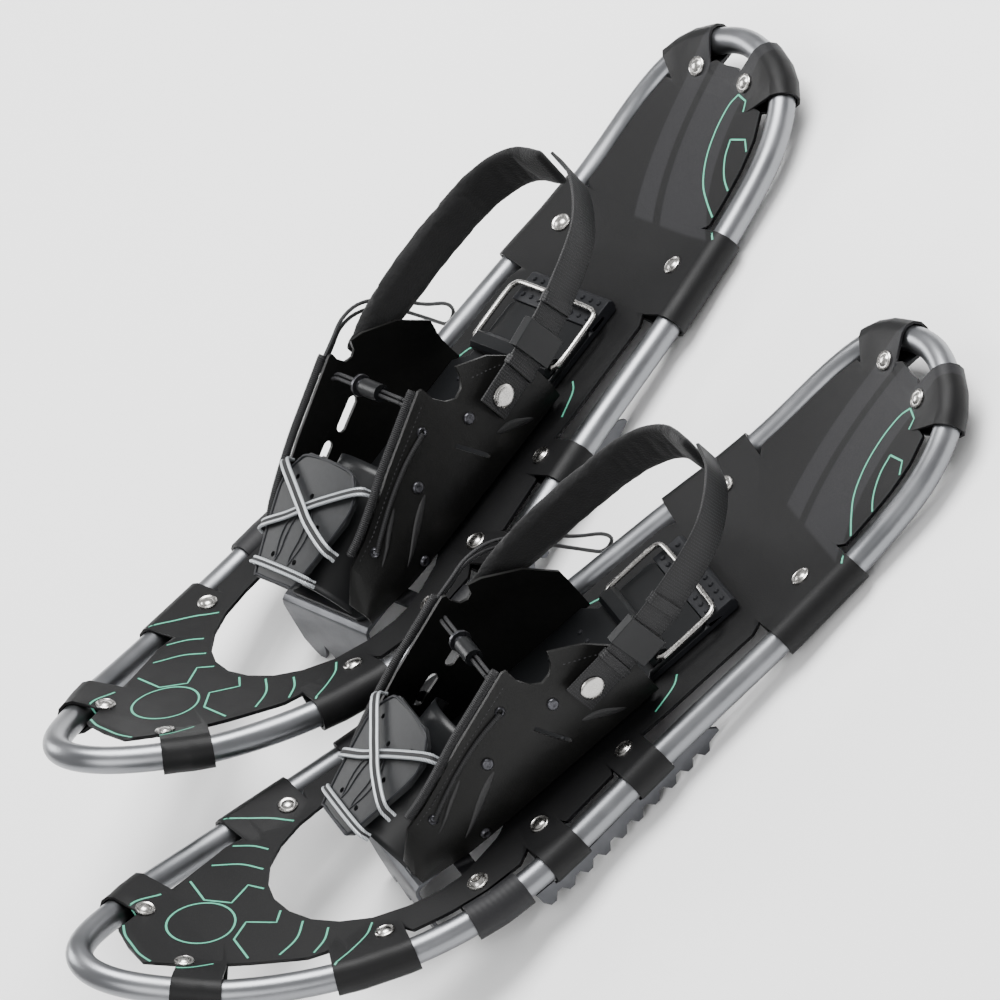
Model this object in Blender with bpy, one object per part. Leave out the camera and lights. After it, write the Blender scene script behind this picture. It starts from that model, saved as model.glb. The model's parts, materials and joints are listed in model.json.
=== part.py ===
"""A pair of aluminium-framed snowshoes, both alike, standing side by side on their crampon teeth.

Each shoe is drawn in its own frame: nose toward -Y, the buckle side toward +X, z = 0 at the height of
the tube's centre line where the frame is flat. Frame, deck and bands are drawn flat and then bent
up at nose and tail together. The last section stands both shoes on the floor.
"""
import math

import bmesh
import bpy
import numpy as np
from mathutils import Matrix, Vector
from mathutils.geometry import tessellate_polygon

# ---------------------------------------------------------------- driving dimensions (metres)
LENGTH = 0.590          # flat length of the frame's centre line, nose to tail
WIDTH = 0.200           # widest part, outside of the tube
TUBE_D = 0.016          # frame tube
NOSE_BEND = 0.400       # radius the nose is curled up to
TAIL_BEND = 0.420       # radius the tail is curled up to
DECK_T = 0.0020         # deck sheet
BAND_T = 0.0016         # the part of the deck that wraps round the tube
GAP = 0.0003            # air between touching pieces
BAND_GAP = 0.0006       # air between a wrap and the tube inside it
STRAP_T = 0.0024        # pivot strap
STRAP_W = 0.034         # pivot strap where it loops round the tube
NECK_W = 0.010          # pivot strap where the binding turns on it
BED_T = 0.0030          # binding base plate
BED_HALF = 0.0460       # half width of the base plate at the ball of the foot
BED_WIDER = BED_HALF / 0.0460   # the binding's other widths follow the base plate's
WING_T = 0.0020         # harness sheet
WEB_W = 0.022           # heel strap webbing
PAD_W = 0.032           # heel strap pad
WIRE_D = 0.0032         # heel lifter wire
RAIL_TIP = -0.020       # lowest point of the side rails
CLAW_TIP = -0.0315      # lowest point of the toe crampon

# where the second shoe stands, seen from the first
PAIR_TURN = math.radians(17.9)
PAIR_SHIFT = (-1.15 * WIDTH, 0.0480)

TUBE_R = TUBE_D / 2
TUBE_SIDES = 12
HALF_L = LENGTH / 2
HALF_W = WIDTH / 2 - TUBE_R
MID = -0.0096           # the frame's middle, seen from the middle of the flat part
NOSE_START = -0.0277    # the frame starts to curl up here
TAIL_START = 0.1475
DECK_TOP = TUBE_R * 0.81
DECK_LOW = DECK_TOP - DECK_T
AXIS_FLAT = -0.0003     # the pivot strap's centre, seen from the tube's centre

# half outline of the frame's centre line: part of the half length, part of the half width
OUTLINE = [(-1.0, 0.0), (-0.991, 0.13), (-0.962, 0.26), (-0.914, 0.386), (-0.855, 0.51), (-0.80, 0.625),
           (-0.646, 0.81), (-0.476, 0.943), (-0.283, 1.0), (-0.056, 0.93), (0.161, 0.848), (0.405, 0.80),
           (0.541, 0.75), (0.676, 0.712), (0.795, 0.68), (0.880, 0.603), (0.941, 0.478), (0.980, 0.272),
           (1.0, 0.0)]


# ---------------------------------------------------------------- helpers
def at(part):
    """Distance along the frame for a part of its half length."""
    return MID + part * HALF_L


def half_width(y):
    """Half width of the frame's centre line at a distance along it."""
    return float(np.interp(y, [p.y for p in SIDE_LINE], [p.x for p in SIDE_LINE]))


def inward(y, distance):
    """A point of the flat drawing that lies square inward from the centre line."""
    step = 0.002
    slope = (half_width(y + step) - half_width(y - step)) / (2 * step)
    size = math.hypot(1, slope)
    return half_width(y) - distance / size, y + distance * slope / size


def bend(p):
    """Curl a point of the flat drawing up at the nose and the tail."""
    x, y, z = p
    if y < NOSE_START:
        turn = (NOSE_START - y) / NOSE_BEND
        return Vector((x, NOSE_START - (NOSE_BEND - z) * math.sin(turn),
                       NOSE_BEND - (NOSE_BEND - z) * math.cos(turn)))
    if y > TAIL_START:
        turn = (y - TAIL_START) / TAIL_BEND
        return Vector((x, TAIL_START + (TAIL_BEND - z) * math.sin(turn),
                       TAIL_BEND - (TAIL_BEND - z) * math.cos(turn)))
    return Vector(p)


def smooth(points, steps, closed=False):
    """Points on a smooth curve through the given points."""
    pts = [np.array(p, float) for p in points]
    n = len(pts)
    out = []
    for i in range(n if closed else n - 1):
        a = pts[(i - 1) % n] if closed or i else 2 * pts[0] - pts[1]
        b = pts[i]
        c = pts[(i + 1) % n]
        d = pts[(i + 2) % n] if closed or i < n - 2 else 2 * pts[-1] - pts[-2]
        for k in range(steps):
            t = k / steps
            out.append(0.5 * (2 * b + (c - a) * t + (2 * a - 5 * b + 4 * c - d) * t * t
                              + (3 * b - a - 3 * c + d) * t ** 3))
    if not closed:
        out.append(pts[-1])
    return [Vector(p) for p in out]


def centre_line():
    """The frame tube's closed centre line, drawn flat."""
    half = [(w * HALF_W, at(p), 0) for p, w in OUTLINE]
    loop = half + [(-x, y, z) for x, y, z in reversed(half[1:-1])]
    return smooth(loop, 2, closed=True)


CENTRE_LINE = centre_line()
SIDE_LINE = [p for p in CENTRE_LINE[:2 * len(OUTLINE) - 1] if p.x >= -1e-9]


def material(name, colour, rough, metal=0.0):
    mat = bpy.data.materials.new(name)
    mat.use_nodes = True
    shader = mat.node_tree.nodes["Principled BSDF"]
    shader.inputs["Base Color"].default_value = (*colour, 1)
    shader.inputs["Roughness"].default_value = rough
    shader.inputs["Metallic"].default_value = metal
    return mat


def face_outward(bm):
    bmesh.ops.recalc_face_normals(bm, faces=bm.faces)
    if bm.calc_volume(signed=True) < 0:
        bmesh.ops.reverse_faces(bm, faces=bm.faces)


def solid(name, verts, faces, mat):
    mesh = bpy.data.meshes.new(name)
    mesh.from_pydata([tuple(v) for v in verts], [], faces)
    bm = bmesh.new()
    bm.from_mesh(mesh)
    bmesh.ops.remove_doubles(bm, verts=bm.verts, dist=0.00001)
    face_outward(bm)
    bm.to_mesh(mesh)
    bm.free()
    mesh.materials.append(mat)
    obj = bpy.data.objects.new(name, mesh)
    bpy.context.scene.collection.objects.link(obj)
    return obj


def combine(obj, others, how):
    """Join to, or cut from, a solid; the other solids are used up."""
    for other in others:
        mod = obj.modifiers.new("join", "BOOLEAN")
        mod.operation = how
        mod.solver = "EXACT"
        mod.object = other
        bpy.context.view_layer.update()
        mesh = bpy.data.meshes.new_from_object(obj.evaluated_get(bpy.context.evaluated_depsgraph_get()))
        obj.modifiers.clear()
        obj.data = mesh
        bpy.data.objects.remove(other)
    return obj


def frames(path, up, closed=False):
    """Sideways and upward directions at each point of a path."""
    n = len(path)
    out = []
    for i, p in enumerate(path):
        ahead = path[(i + 1) % n] if closed or i < n - 1 else p
        behind = path[i - 1] if closed or i else p
        along = (ahead - behind).normalized()
        side = along.cross(Vector(up(i) if callable(up) else up)).normalized()
        out.append((side, side.cross(along).normalized()))
    return out


def sweep(name, path, section, mat, up=(0, 0, 1), closed=False):
    """Carry a closed outline of (side, up) points along a path."""
    verts = []
    faces = []
    m = len(section)
    n = len(path)
    for p, (side, rise) in zip(path, frames(path, up, closed)):
        verts += [p + side * s + rise * u for s, u in section]
    for i in range(n if closed else n - 1):
        j = (i + 1) % n
        for k in range(m):
            faces.append((i * m + k, i * m + (k + 1) % m, j * m + (k + 1) % m, j * m + k))
    if not closed:
        faces.append(tuple(range(m)))
        faces.append(tuple((n - 1) * m + k for k in range(m)))
    return solid(name, verts, faces, mat)


def circle(radius, sides, turn=0.0):
    return [(radius * math.cos(turn + math.tau * k / sides), radius * math.sin(turn + math.tau * k / sides))
            for k in range(sides)]


def flat_bar(width, thick, corner=0.3):
    """Outline of a strip: wide upward, thin sideways, with its corners taken off."""
    w = width / 2
    t = thick / 2
    c = t * corner
    return [(-t + c, -w), (t - c, -w), (t, -w + c), (t, w - c),
            (t - c, w), (-t + c, w), (-t, w - c), (-t, -w + c)]


def slab(name, rings, low, high, mat, shape=None):
    """A plate from an outline and its holes, between two heights, moved by a shape function."""
    tris = tessellate_polygon([[Vector((x, y, 0)) for x, y in ring] for ring in rings])
    flat = [p for ring in rings for p in ring]
    n = len(flat)
    verts = [(x, y, low) for x, y in flat] + [(x, y, high) for x, y in flat]
    faces = [tuple(t) for t in tris] + [tuple(i + n for i in reversed(t)) for t in tris]
    start = 0
    for ring in rings:
        m = len(ring)
        for k in range(m):
            a = start + k
            b = start + (k + 1) % m
            faces.append((a, b, b + n, a + n))
        start += m
    obj = solid(name, verts, faces, mat)
    if shape:
        move(obj, shape)
    return obj


def slice_across(obj, stations, axis=1):
    """Add edges across a plate so that it can bend."""
    bm = bmesh.new()
    bm.from_mesh(obj.data)
    for s in stations:
        spot = Vector((0, 0, 0))
        spot[axis] = s
        normal = Vector((0, 0, 0))
        normal[axis] = 1
        geom = list(bm.verts) + list(bm.edges) + list(bm.faces)
        bmesh.ops.bisect_plane(bm, geom=geom, plane_co=spot, plane_no=normal, dist=0.00001)
    bmesh.ops.triangulate(bm, faces=bm.faces)
    bm.to_mesh(obj.data)
    bm.free()


def move(obj, shape):
    """Put every point of a solid where a shape function sends it."""
    bm = bmesh.new()
    bm.from_mesh(obj.data)
    for v in bm.verts:
        v.co = shape(v.co)
    face_outward(bm)
    bm.to_mesh(obj.data)
    bm.free()


def turned(name, profile, centre, toward, sides, mat):
    """A round piece: (radius, height) points, standing at a centre and pointing a way."""
    turn = Vector((0, 0, 1)).rotation_difference(Vector(toward)).to_matrix()
    verts = [Vector(centre) + turn @ Vector((0, 0, profile[0][1]))]
    faces = []
    rings = profile[1:-1]
    for r, h in rings:
        for k in range(sides):
            a = math.tau * k / sides
            verts.append(Vector(centre) + turn @ Vector((r * math.cos(a), r * math.sin(a), h)))
    verts.append(Vector(centre) + turn @ Vector((0, 0, profile[-1][1])))
    for k in range(sides):
        j = (k + 1) % sides
        faces.append((0, 1 + j, 1 + k))
        for i in range(len(rings) - 1):
            a = 1 + i * sides
            faces.append((a + k, a + j, a + sides + j, a + sides + k))
        a = 1 + (len(rings) - 1) * sides
        faces.append((a + k, a + j, len(verts) - 1))
    return solid(name, verts, faces, mat)


def box(name, low, high, mat):
    x0, y0, z0 = low
    x1, y1, z1 = high
    return slab(name, [[(x0, y0), (x1, y0), (x1, y1), (x0, y1)]], z0, z1, mat)


def mirrored(points):
    """The other side of a half outline, so that the two make a closed ring."""
    return points + [(-x, y) for x, y in reversed(points) if abs(x) > 1e-6]


# ---------------------------------------------------------------- clear the scene, name the finishes
for old in list(bpy.data.objects):
    bpy.data.objects.remove(old)

ALLOY = material("brushed_alloy", (0.46, 0.47, 0.48), 0.34, 1.0)
STEEL = material("plated_steel", (0.62, 0.61, 0.60), 0.30, 1.0)
DARK_STEEL = material("dark_steel", (0.13, 0.13, 0.14), 0.45, 0.9)
CLAW_STEEL = material("claw_steel", (0.27, 0.27, 0.28), 0.42, 0.9)
DECK_SHEET = material("coated_deck_sheet", (0.035, 0.036, 0.040), 0.62)
HARNESS = material("textured_harness_sheet", (0.030, 0.030, 0.031), 0.72)
PIPING = material("ribbed_piping", (0.045, 0.045, 0.045), 0.80)
RUBBER = material("grey_rubber", (0.10, 0.10, 0.105), 0.75)
BASE = material("moulded_base", (0.022, 0.023, 0.026), 0.55)
WEBBING = material("woven_webbing", (0.055, 0.052, 0.048), 0.90)
FOAM = material("foam_pad_fabric", (0.010, 0.010, 0.010), 0.95)
CORD = material("woven_cord", (0.012, 0.012, 0.012), 0.85)
LACE = material("edged_lace", (0.32, 0.32, 0.31), 0.60)


# ---------------------------------------------------------------- frame and deck
def frame_tube(tag):
    obj = sweep(tag + "frame_tube", CENTRE_LINE, circle(TUBE_R, TUBE_SIDES), ALLOY, closed=True)
    move(obj, bend)
    return obj


# bands that wrap the deck round the tube: start and end along the frame, part of the half length
BANDS = {"nose": (-0.880, -0.800), "front": (-0.605, -0.454), "fore_mid": (-0.168, -0.088),
         "aft_mid": (0.045, 0.127), "tail": (0.426, 0.625), "end": (0.915, 0.985)}
BAND_REACH = 0.0235     # from the tube's centre line inward to the end of the wrap


def side_path(start, end):
    """The centre line between two distances along one side."""
    between = [p for p in SIDE_LINE if start + 0.003 < p.y < end - 0.003]
    return [Vector((half_width(start), start, 0))] + between + [Vector((half_width(end), end, 0))]


def wrapped(name, path, outer, inner, side, mat):
    """A hollow section, given as an outer and an inner loop, carried along one side of the frame."""
    verts = []
    m = len(outer)
    for p, (out, rise) in zip(path, frames(path, (0, 0, 1))):
        for n, z in outer + inner:
            q = p + out * n + Vector((0, 0, z))
            verts.append((side * q.x, q.y, q.z))
    faces = []
    for i in range(len(path) - 1):
        for k in range(m):
            for base in (0, m):
                a = i * 2 * m + base
                b = a + 2 * m
                j = (k + 1) % m
                faces.append((a + k, a + j, b + j, b + k))
    for i in (0, len(path) - 1):
        a = i * 2 * m
        for k in range(m):
            j = (k + 1) % m
            faces.append((a + k, a + j, a + m + j, a + m + k))
    return solid(name, verts, faces, mat)


def band(span, side):
    """One wrap: deck sheet that leaves the deck, goes round the tube and comes back under it."""
    inner_r = TUBE_R + BAND_GAP
    outer_r = inner_r + BAND_T
    outer = [(-BAND_REACH, DECK_TOP - 0.0002)]
    inner = [(-BAND_REACH + 0.003, DECK_LOW + 0.0002)]
    for k in range(8):
        a = math.tau * (3 - k) / TUBE_SIDES
        outer.append((outer_r * math.cos(a), outer_r * math.sin(a)))
        inner.append((inner_r * math.cos(a), inner_r * math.sin(a)))
    outer.append((-BAND_REACH, DECK_LOW - DECK_T + 0.0002))
    inner.append((-BAND_REACH + 0.003, DECK_LOW - 0.0002))
    return wrapped("band", side_path(at(span[0]), at(span[1])), outer, inner, side, DECK_SHEET)


def deck_edge():
    """Half outline of the deck: beside the tube where it is bare, in under each wrap."""
    beside = TUBE_R + 0.0022
    under = TUBE_R + 0.0090
    points = [(0.0, at(-0.910)), (0.018, at(-0.905))]
    for name, (start, end) in BANDS.items():
        points += [inward(y, under) for y in (at(start) + 0.0012, at(end) - 0.0012)]
        if name == "nose":
            points += [(0.040, at(-0.772)), (0.060, at(-0.630))]
        if name == "front":
            points += [inward(y, beside) for y in np.linspace(at(end) + 0.004, at(-0.20), 4)]
        if name == "fore_mid":
            points += [inward(y, beside) for y in (at(end) + 0.002, at(0.045) - 0.002)]
        if name == "aft_mid":
            points += [(0.0626, at(0.19)), (0.0607, at(0.395))]
        if name == "tail":
            points += [inward(y, beside) for y in np.linspace(at(end) + 0.004, at(0.895), 5)]
    return points + [(0.010, at(0.945)), (0.0, at(0.942))]


def toe_opening():
    """The egg-shaped hole that the toe and the crampon swing through."""
    front = at(-0.613)
    half = [(0.0, 0.0), (0.030, 0.010), (0.052, 0.038), (0.0605, 0.078), (0.0560, 0.104), (0.040, 0.134),
            (0.0, 0.138)]
    return smooth([(x * BED_WIDER, front + y, 0) for x, y in mirrored(half)], 2, closed=True)


def deck(tag):
    edge = mirrored(deck_edge())
    hole = [(p.x, p.y) for p in toe_opening()]
    rings = [edge, hole]
    obj = slab(tag + "deck", rings, DECK_LOW, DECK_TOP, DECK_SHEET)
    wraps = [band(span, side) for span in BANDS.values() for side in (1, -1)]
    combine(obj, wraps, "UNION")
    curled = [p.y for p in SIDE_LINE if at(-0.89) < p.y < NOSE_START + 0.02 or TAIL_START < p.y < at(0.95)]
    slice_across(obj, curled)
    move(obj, bend)
    return obj


# ---------------------------------------------------------------- rails, pivot strap and bolts
PIVOT_Y = at(-0.281)                     # the binding turns here
PIVOT_Z = bend((0, PIVOT_Y, AXIS_FLAT)).z
PIVOT_AT = bend((0, PIVOT_Y, AXIS_FLAT)).y

RAIL_START = at(-0.213)
RAIL_END = at(0.235)
RAIL_TEETH = 10
RAIL_PITCH = (RAIL_END - RAIL_START - 0.006) / RAIL_TEETH


def side_rail(tag, name, side):
    """Toothed steel strip under the tube; it stands up to the tube where the tube is bare."""
    start = RAIL_START
    end = RAIL_END
    under_tube = -TUBE_R - GAP
    under_band = -TUBE_R - BAND_GAP - BAND_T - GAP
    spans = [BANDS["fore_mid"], BANDS["aft_mid"]]
    top = [(start, under_band)]
    for span in spans:
        top += [(at(span[0]) - 0.001, under_tube), (at(span[0]) - 0.001, under_band),
                (at(span[1]) + 0.001, under_band), (at(span[1]) + 0.001, under_tube)]
    top[0] = (start, under_tube)
    top += [(end - 0.004, under_tube), (end, under_tube - 0.004)]
    low = []
    for k in range(RAIL_TEETH):
        y = start + 0.001 + k * RAIL_PITCH
        low += [(y, RAIL_TIP + 0.0045), (y + 0.22 * RAIL_PITCH, RAIL_TIP), (y + 0.50 * RAIL_PITCH, RAIL_TIP),
                (y + 0.74 * RAIL_PITCH, RAIL_TIP + 0.0045)]
    low.append((end, RAIL_TIP + 0.0060))
    ring = low + top[::-1]
    flat = slab(tag + name, [ring], -0.0011, 0.0011, DARK_STEEL)

    def stand(p):
        y, z, across = p
        return bend((side * (half_width(y) + 0.001 + across), y, z))

    knots = [q.y for q in SIDE_LINE if start + 0.002 < q.y < end - 0.002]
    slice_across(flat, knots + [NOSE_START], axis=0)
    move(flat, stand)
    return flat


def pivot_strap(tag):
    """Reinforced strap looped round both sides of the tube; the binding turns on its narrow middle."""
    inner_r = TUBE_R + BAND_GAP
    outer_r = inner_r + STRAP_T * 0.8
    y0 = PIVOT_Y - STRAP_W / 2
    y1 = PIVOT_Y + STRAP_W / 2
    mid_r = (inner_r + outer_r) / 2
    into_loop = math.sqrt(mid_r ** 2 - AXIS_FLAT ** 2)
    front = half_width(y0) - into_loop
    rear = half_width(y1) - into_loop
    waist = 0.052
    neck = NECK_W / 2
    half = [(0.0, PIVOT_Y - neck), (waist, PIVOT_Y - neck), (waist + 0.012, y0), (front, y0), (rear, y1),
            (waist + 0.012, y1), (waist, PIVOT_Y + neck), (0.0, PIVOT_Y + neck)]
    outline = mirrored(half)
    strap = slab(tag + "pivot_strap", [outline], AXIS_FLAT - STRAP_T / 2, AXIS_FLAT + STRAP_T / 2, BASE)
    skins = (circle(outer_r, TUBE_SIDES), circle(inner_r, TUBE_SIDES))
    loops = [wrapped("loop", side_path(y0, y1), *skins, side, BASE) for side in (1, -1)]
    combine(strap, loops, "UNION")
    slice_across(strap, np.linspace(y0, y1, 4)[1:-1])
    move(strap, bend)
    return strap


def pivot_bolt(tag, name, side):
    """Bolt and washer that hold the strap to the deck; the head stands on the deck."""
    top = DECK_TOP + GAP
    profile = [(0, 0), (0.0060, 0), (0.0060, 0.0010), (0.0042, 0.0012), (0.0038, 0.0034), (0.0020, 0.0040),
               (0, 0.0040)]
    obj = turned(tag + name, profile, (side * 0.0724, PIVOT_Y, top), (0, 0, 1), 14, STEEL)
    move(obj, bend)
    return obj


# ---------------------------------------------------------------- binding: base, crampon, harness
BED_LOW = PIVOT_Z + NECK_W / 2 + 0.0008
BED_TOP = BED_LOW + BED_T
BED_FRONT = PIVOT_AT - 0.026
BED_BACK = PIVOT_AT + 0.184
HINGE_Y = PIVOT_AT + 0.153
HEEL_HALF = 0.036
WING_IN = BED_HALF + GAP


def footbed(tag):
    """Moulded plate under the boot, wide at the ball and narrow at the heel."""
    nose = BED_HALF - 0.0095
    half = [(0.0, BED_FRONT), (nose - 0.0065, BED_FRONT), (nose, BED_FRONT + 0.006),
            (BED_HALF, PIVOT_AT + 0.024), (BED_HALF, HINGE_Y - 0.016), (HEEL_HALF, HINGE_Y - 0.009),
            (HEEL_HALF, BED_BACK - 0.003), (HEEL_HALF - 0.003, BED_BACK), (0.0, BED_BACK)]
    return slab(tag + "footbed", [mirrored(half)], BED_LOW, BED_TOP, BASE)


def heel_pad(tag):
    """Rubber block the heel stands on: under the base plate and behind it."""
    low = DECK_TOP + GAP
    high = BED_TOP + 0.0010
    y0 = HINGE_Y - 0.012
    y2 = BED_BACK + 0.021
    y1 = BED_BACK + GAP
    under = BED_LOW - GAP
    ring = [(y0, low), (y2 - 0.002, low), (y2, low + 0.003), (y2, high - 0.002),
            (y2 - 0.002, high), (y1, high), (y1, under), (y0, under)]
    obj = slab(tag + "heel_pad", [ring], -HEEL_HALF, HEEL_HALF, RUBBER)
    move(obj, lambda p: Vector((p.z, p.x, p.y)))
    return obj


CLAW_T = 0.0024
CLAW_R = 0.0050                           # bend radius of the sheet's upper face
CLAW_TURN = math.radians(80)
CLAW_FOLD = BED_FRONT - 0.001
CLAW_TOP = BED_LOW - GAP
CLAW_DROP = (CLAW_TOP - CLAW_R + (CLAW_R - CLAW_T) * math.cos(CLAW_TURN) - CLAW_TIP) / math.sin(CLAW_TURN)


def toe_crampon(tag):
    """Pressed steel sheet under the front of the base, bent down and forward into four teeth."""
    half = 0.040
    back = PIVOT_AT - NECK_W / 2 - 0.0015
    flat_part = back - CLAW_FOLD
    bent = flat_part + CLAW_R * CLAW_TURN
    tip = bent + CLAW_DROP
    root = tip - 0.012
    pitch = 2 * half / 4
    ring = [(half, 0.0), (-half, 0.0), (-half, root)]
    for k in range(4):
        x = -half + k * pitch
        ring += [(x + 0.20 * pitch, tip - 0.004), (x + 0.38 * pitch, tip), (x + 0.62 * pitch, tip),
                 (x + 0.80 * pitch, tip - 0.004), (x + pitch, root)]
    sheet = slab(tag + "toe_crampon", [ring], 0.0, CLAW_T, CLAW_STEEL)
    slice_across(sheet, (flat_part, (flat_part + bent) / 2, bent))

    def press(p):
        along = p.y
        if along <= flat_part:
            return Vector((p.x, back - along, CLAW_TOP - p.z))
        a = min(CLAW_TURN, (along - flat_part) / CLAW_R)
        rest = max(0.0, along - bent)
        y = CLAW_FOLD - (CLAW_R - p.z) * math.sin(a) - rest * math.cos(a)
        z = CLAW_TOP - CLAW_R + (CLAW_R - p.z) * math.cos(a) - rest * math.sin(a)
        return Vector((p.x, y, z))

    move(sheet, press)
    return sheet


def curved_sheet(name, layers, mat):
    """A closed sheet from two equal grids of points, one for each of its sides."""
    n = len(layers[0])
    m = len(layers[0][0])
    verts = [p for layer in layers for row in layer for p in row]
    faces = []

    def spot(layer, i, r):
        return layer * n * m + i * m + r

    for i in range(n - 1):
        for r in range(m - 1):
            for k in (0, 1):
                faces.append((spot(k, i, r), spot(k, i + 1, r), spot(k, i + 1, r + 1), spot(k, i, r + 1)))
        for r in (0, m - 1):
            faces.append((spot(0, i, r), spot(0, i + 1, r), spot(1, i + 1, r), spot(1, i, r)))
    for r in range(m - 1):
        for i in (0, n - 1):
            faces.append((spot(0, i, r), spot(0, i, r + 1), spot(1, i, r + 1), spot(1, i, r)))
    return solid(name, verts, faces, mat)


def wing_top(y):
    """Height of a wing's upper edge."""
    ys = [PIVOT_AT + d for d in (-0.024, -0.010, 0.040, 0.085, 0.108, 0.128, 0.142)]
    return float(np.interp(y, ys, [0.026, 0.044, 0.068, 0.086, 0.078, 0.064, 0.046]))


def wing_side(y, part):
    """How far out a wing stands at a distance along and a part of its height."""
    toe = max(0.0, min(1.0, (PIVOT_AT + 0.010 - y) / 0.034))
    return WING_IN + 0.0042 * math.sin(math.pi * min(1.0, part * 1.15)) - 0.0080 * toe - 0.0050 * part ** 2


def wing(tag, name, side):
    """Harness sheet standing up beside the boot; both wings have the same outline."""
    steps = (-0.024, -0.017, -0.010, 0.005, 0.022, 0.040, 0.062, 0.085, 0.097, 0.108, 0.118, 0.128, 0.142)
    stations = [PIVOT_AT + step for step in steps]
    parts = np.linspace(0.0, 1.0, 6)
    layers = [[[(side * (wing_side(y, part) + out), y, BED_LOW + part * (wing_top(y) - BED_LOW))
                for part in parts] for y in stations] for out in (0.0, WING_T)]
    obj = curved_sheet(tag + name, layers, HARNESS)
    cutters = []
    if side < 0:
        for y, z in ((-0.010 + 0.082, 0.0460), (-0.010 + 0.054, 0.0400)):
            cutters.append(slot_cutter(PIVOT_AT + y, z, 0.011, 0.0035, side, 0.35))
    else:
        cutters.append(slot_cutter(PIVOT_AT + 0.083, 0.0370, 0.013, 0.0014, side, -1.15))
    return combine(obj, cutters, "DIFFERENCE")


def slot_cutter(y, z, half_long, half_high, side, lean):
    """Rounded bar that cuts a slot through a wing."""
    ring = []
    for k in range(12):
        a = math.tau * (k + 0.5) / 12
        u = math.cos(a) * half_high + math.copysign(half_long - half_high, math.cos(a))
        v = math.sin(a) * half_high
        ring.append((u * math.cos(lean) - v * math.sin(lean), u * math.sin(lean) + v * math.cos(lean)))
    obj = slab("slot", [ring], 0.030, 0.070, HARNESS)
    move(obj, lambda p: Vector((side * p.z, y + p.x, z + p.y)))
    return obj


def hem(tag, name, side):
    """Ribbed piping along the front upper edge of a wing."""
    radius = 0.0027
    ys = [PIVOT_AT + d for d in (-0.006, 0.005, 0.022, 0.040, 0.062, 0.083)]
    path = [Vector((side * (wing_side(y, 1.0) + WING_T / 2), y, wing_top(y) + radius + 0.0016)) for y in ys]
    return sweep(tag + name, smooth(path, 2), circle(radius, 8), PIPING)


TOE_HALF = 0.0345 * BED_WIDER


def toe_cup(tag):
    """Smooth tongue arched over the toes between the two wings."""
    stations = [PIVOT_AT + step for step in (-0.030, -0.015, 0.005, 0.025, 0.045)]
    thick = 0.0016

    def spot(i, u, lift):
        crown = 0.0440 + 0.0150 * i / 4
        half = TOE_HALF - 0.0050 * (1 - i / 4)
        return (half * u, stations[i] + 0.004 * u * u, crown - 0.018 * u * u - 0.008 * u ** 6 + lift)

    layers = [[[spot(i, u, lift) for u in np.linspace(-1.0, 1.0, 11)] for i in range(5)]
              for lift in (0.0, thick)]
    return curved_sheet(tag + "toe_cup", layers, BASE)


PLATE_LOW = Vector((0, PIVOT_AT - 0.038, 0.0470))
PLATE_HIGH = Vector((0, PIVOT_AT + 0.034, 0.0680))


def on_plate(x, along, lift=0.0):
    """A point over the toe plate: across, part of the way up it, and height over its lower face."""
    spot = PLATE_LOW.lerp(PLATE_HIGH, along)
    arch = 0.0030 * (1 - (x / 0.033) ** 2)
    return Vector((x * BED_WIDER, spot.y - lift * 0.28, spot.z + arch + lift * 0.96))


def toe_plate(tag):
    """Perforated rubber plate over the toes."""
    size = (PLATE_HIGH - PLATE_LOW).length
    half = [(0.0, 0.0), (0.014, 0.0), (0.0195, 0.05), (0.033, 0.62), (0.033, 0.80), (0.0275, 0.93),
            (0.018, 1.0), (0.0, 1.0)]
    spots = [(0.010, 0.20), (0.015, 0.50), (0.020, 0.80)]
    spots += [(-x, along) for x, along in spots] + [(0.0, 0.70)]
    holes = [[(x + u, along + v / size) for u, v in circle(0.0018, 6)] for x, along in spots]
    obj = slab(tag + "toe_plate", [mirrored(half)] + holes, 0.0, 0.0026, RUBBER)
    slice_across(obj, (-0.016, 0.0, 0.016), axis=0)
    move(obj, lambda p: on_plate(p.x, p.y, p.z))
    return obj


def lace(tag, name, side, lift):
    """Flat lace crossing the toe plate from low on one wing to high on the other."""
    by_hem = (BED_HALF - 0.0085) / BED_WIDER
    ends = [(-0.0355, 0.36, -0.0065), (-0.0305, 0.39, 0.0), (-0.012, 0.50, 0.0), (0.0, 0.60, 0.0),
            (0.012, 0.70, 0.0), (by_hem - 0.0045, 0.87, 0.0), (by_hem, 0.90, -0.0065)]
    path = [on_plate(side * x, a, 0.0026 + 0.0018 + lift + d) for x, a, d in ends]
    return sweep(tag + name, smooth(path, 2), [(s, u) for u, s in flat_bar(0.0052, 0.0014)], LACE)


def toe_lace(tag):
    """Short lace across the low end of the toe plate."""
    ends = [(-0.0275, -0.0060), (-0.0245, -0.001), (-0.012, 0), (0.012, 0), (0.0245, -0.001),
            (0.0275, -0.0060)]
    path = [on_plate(x, 0.115, 0.0026 + 0.0018 + d) for x, d in ends]
    return sweep(tag + "toe_lace", smooth(path, 2), [(s, u) for u, s in flat_bar(0.0046, 0.0014)], LACE)


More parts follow.
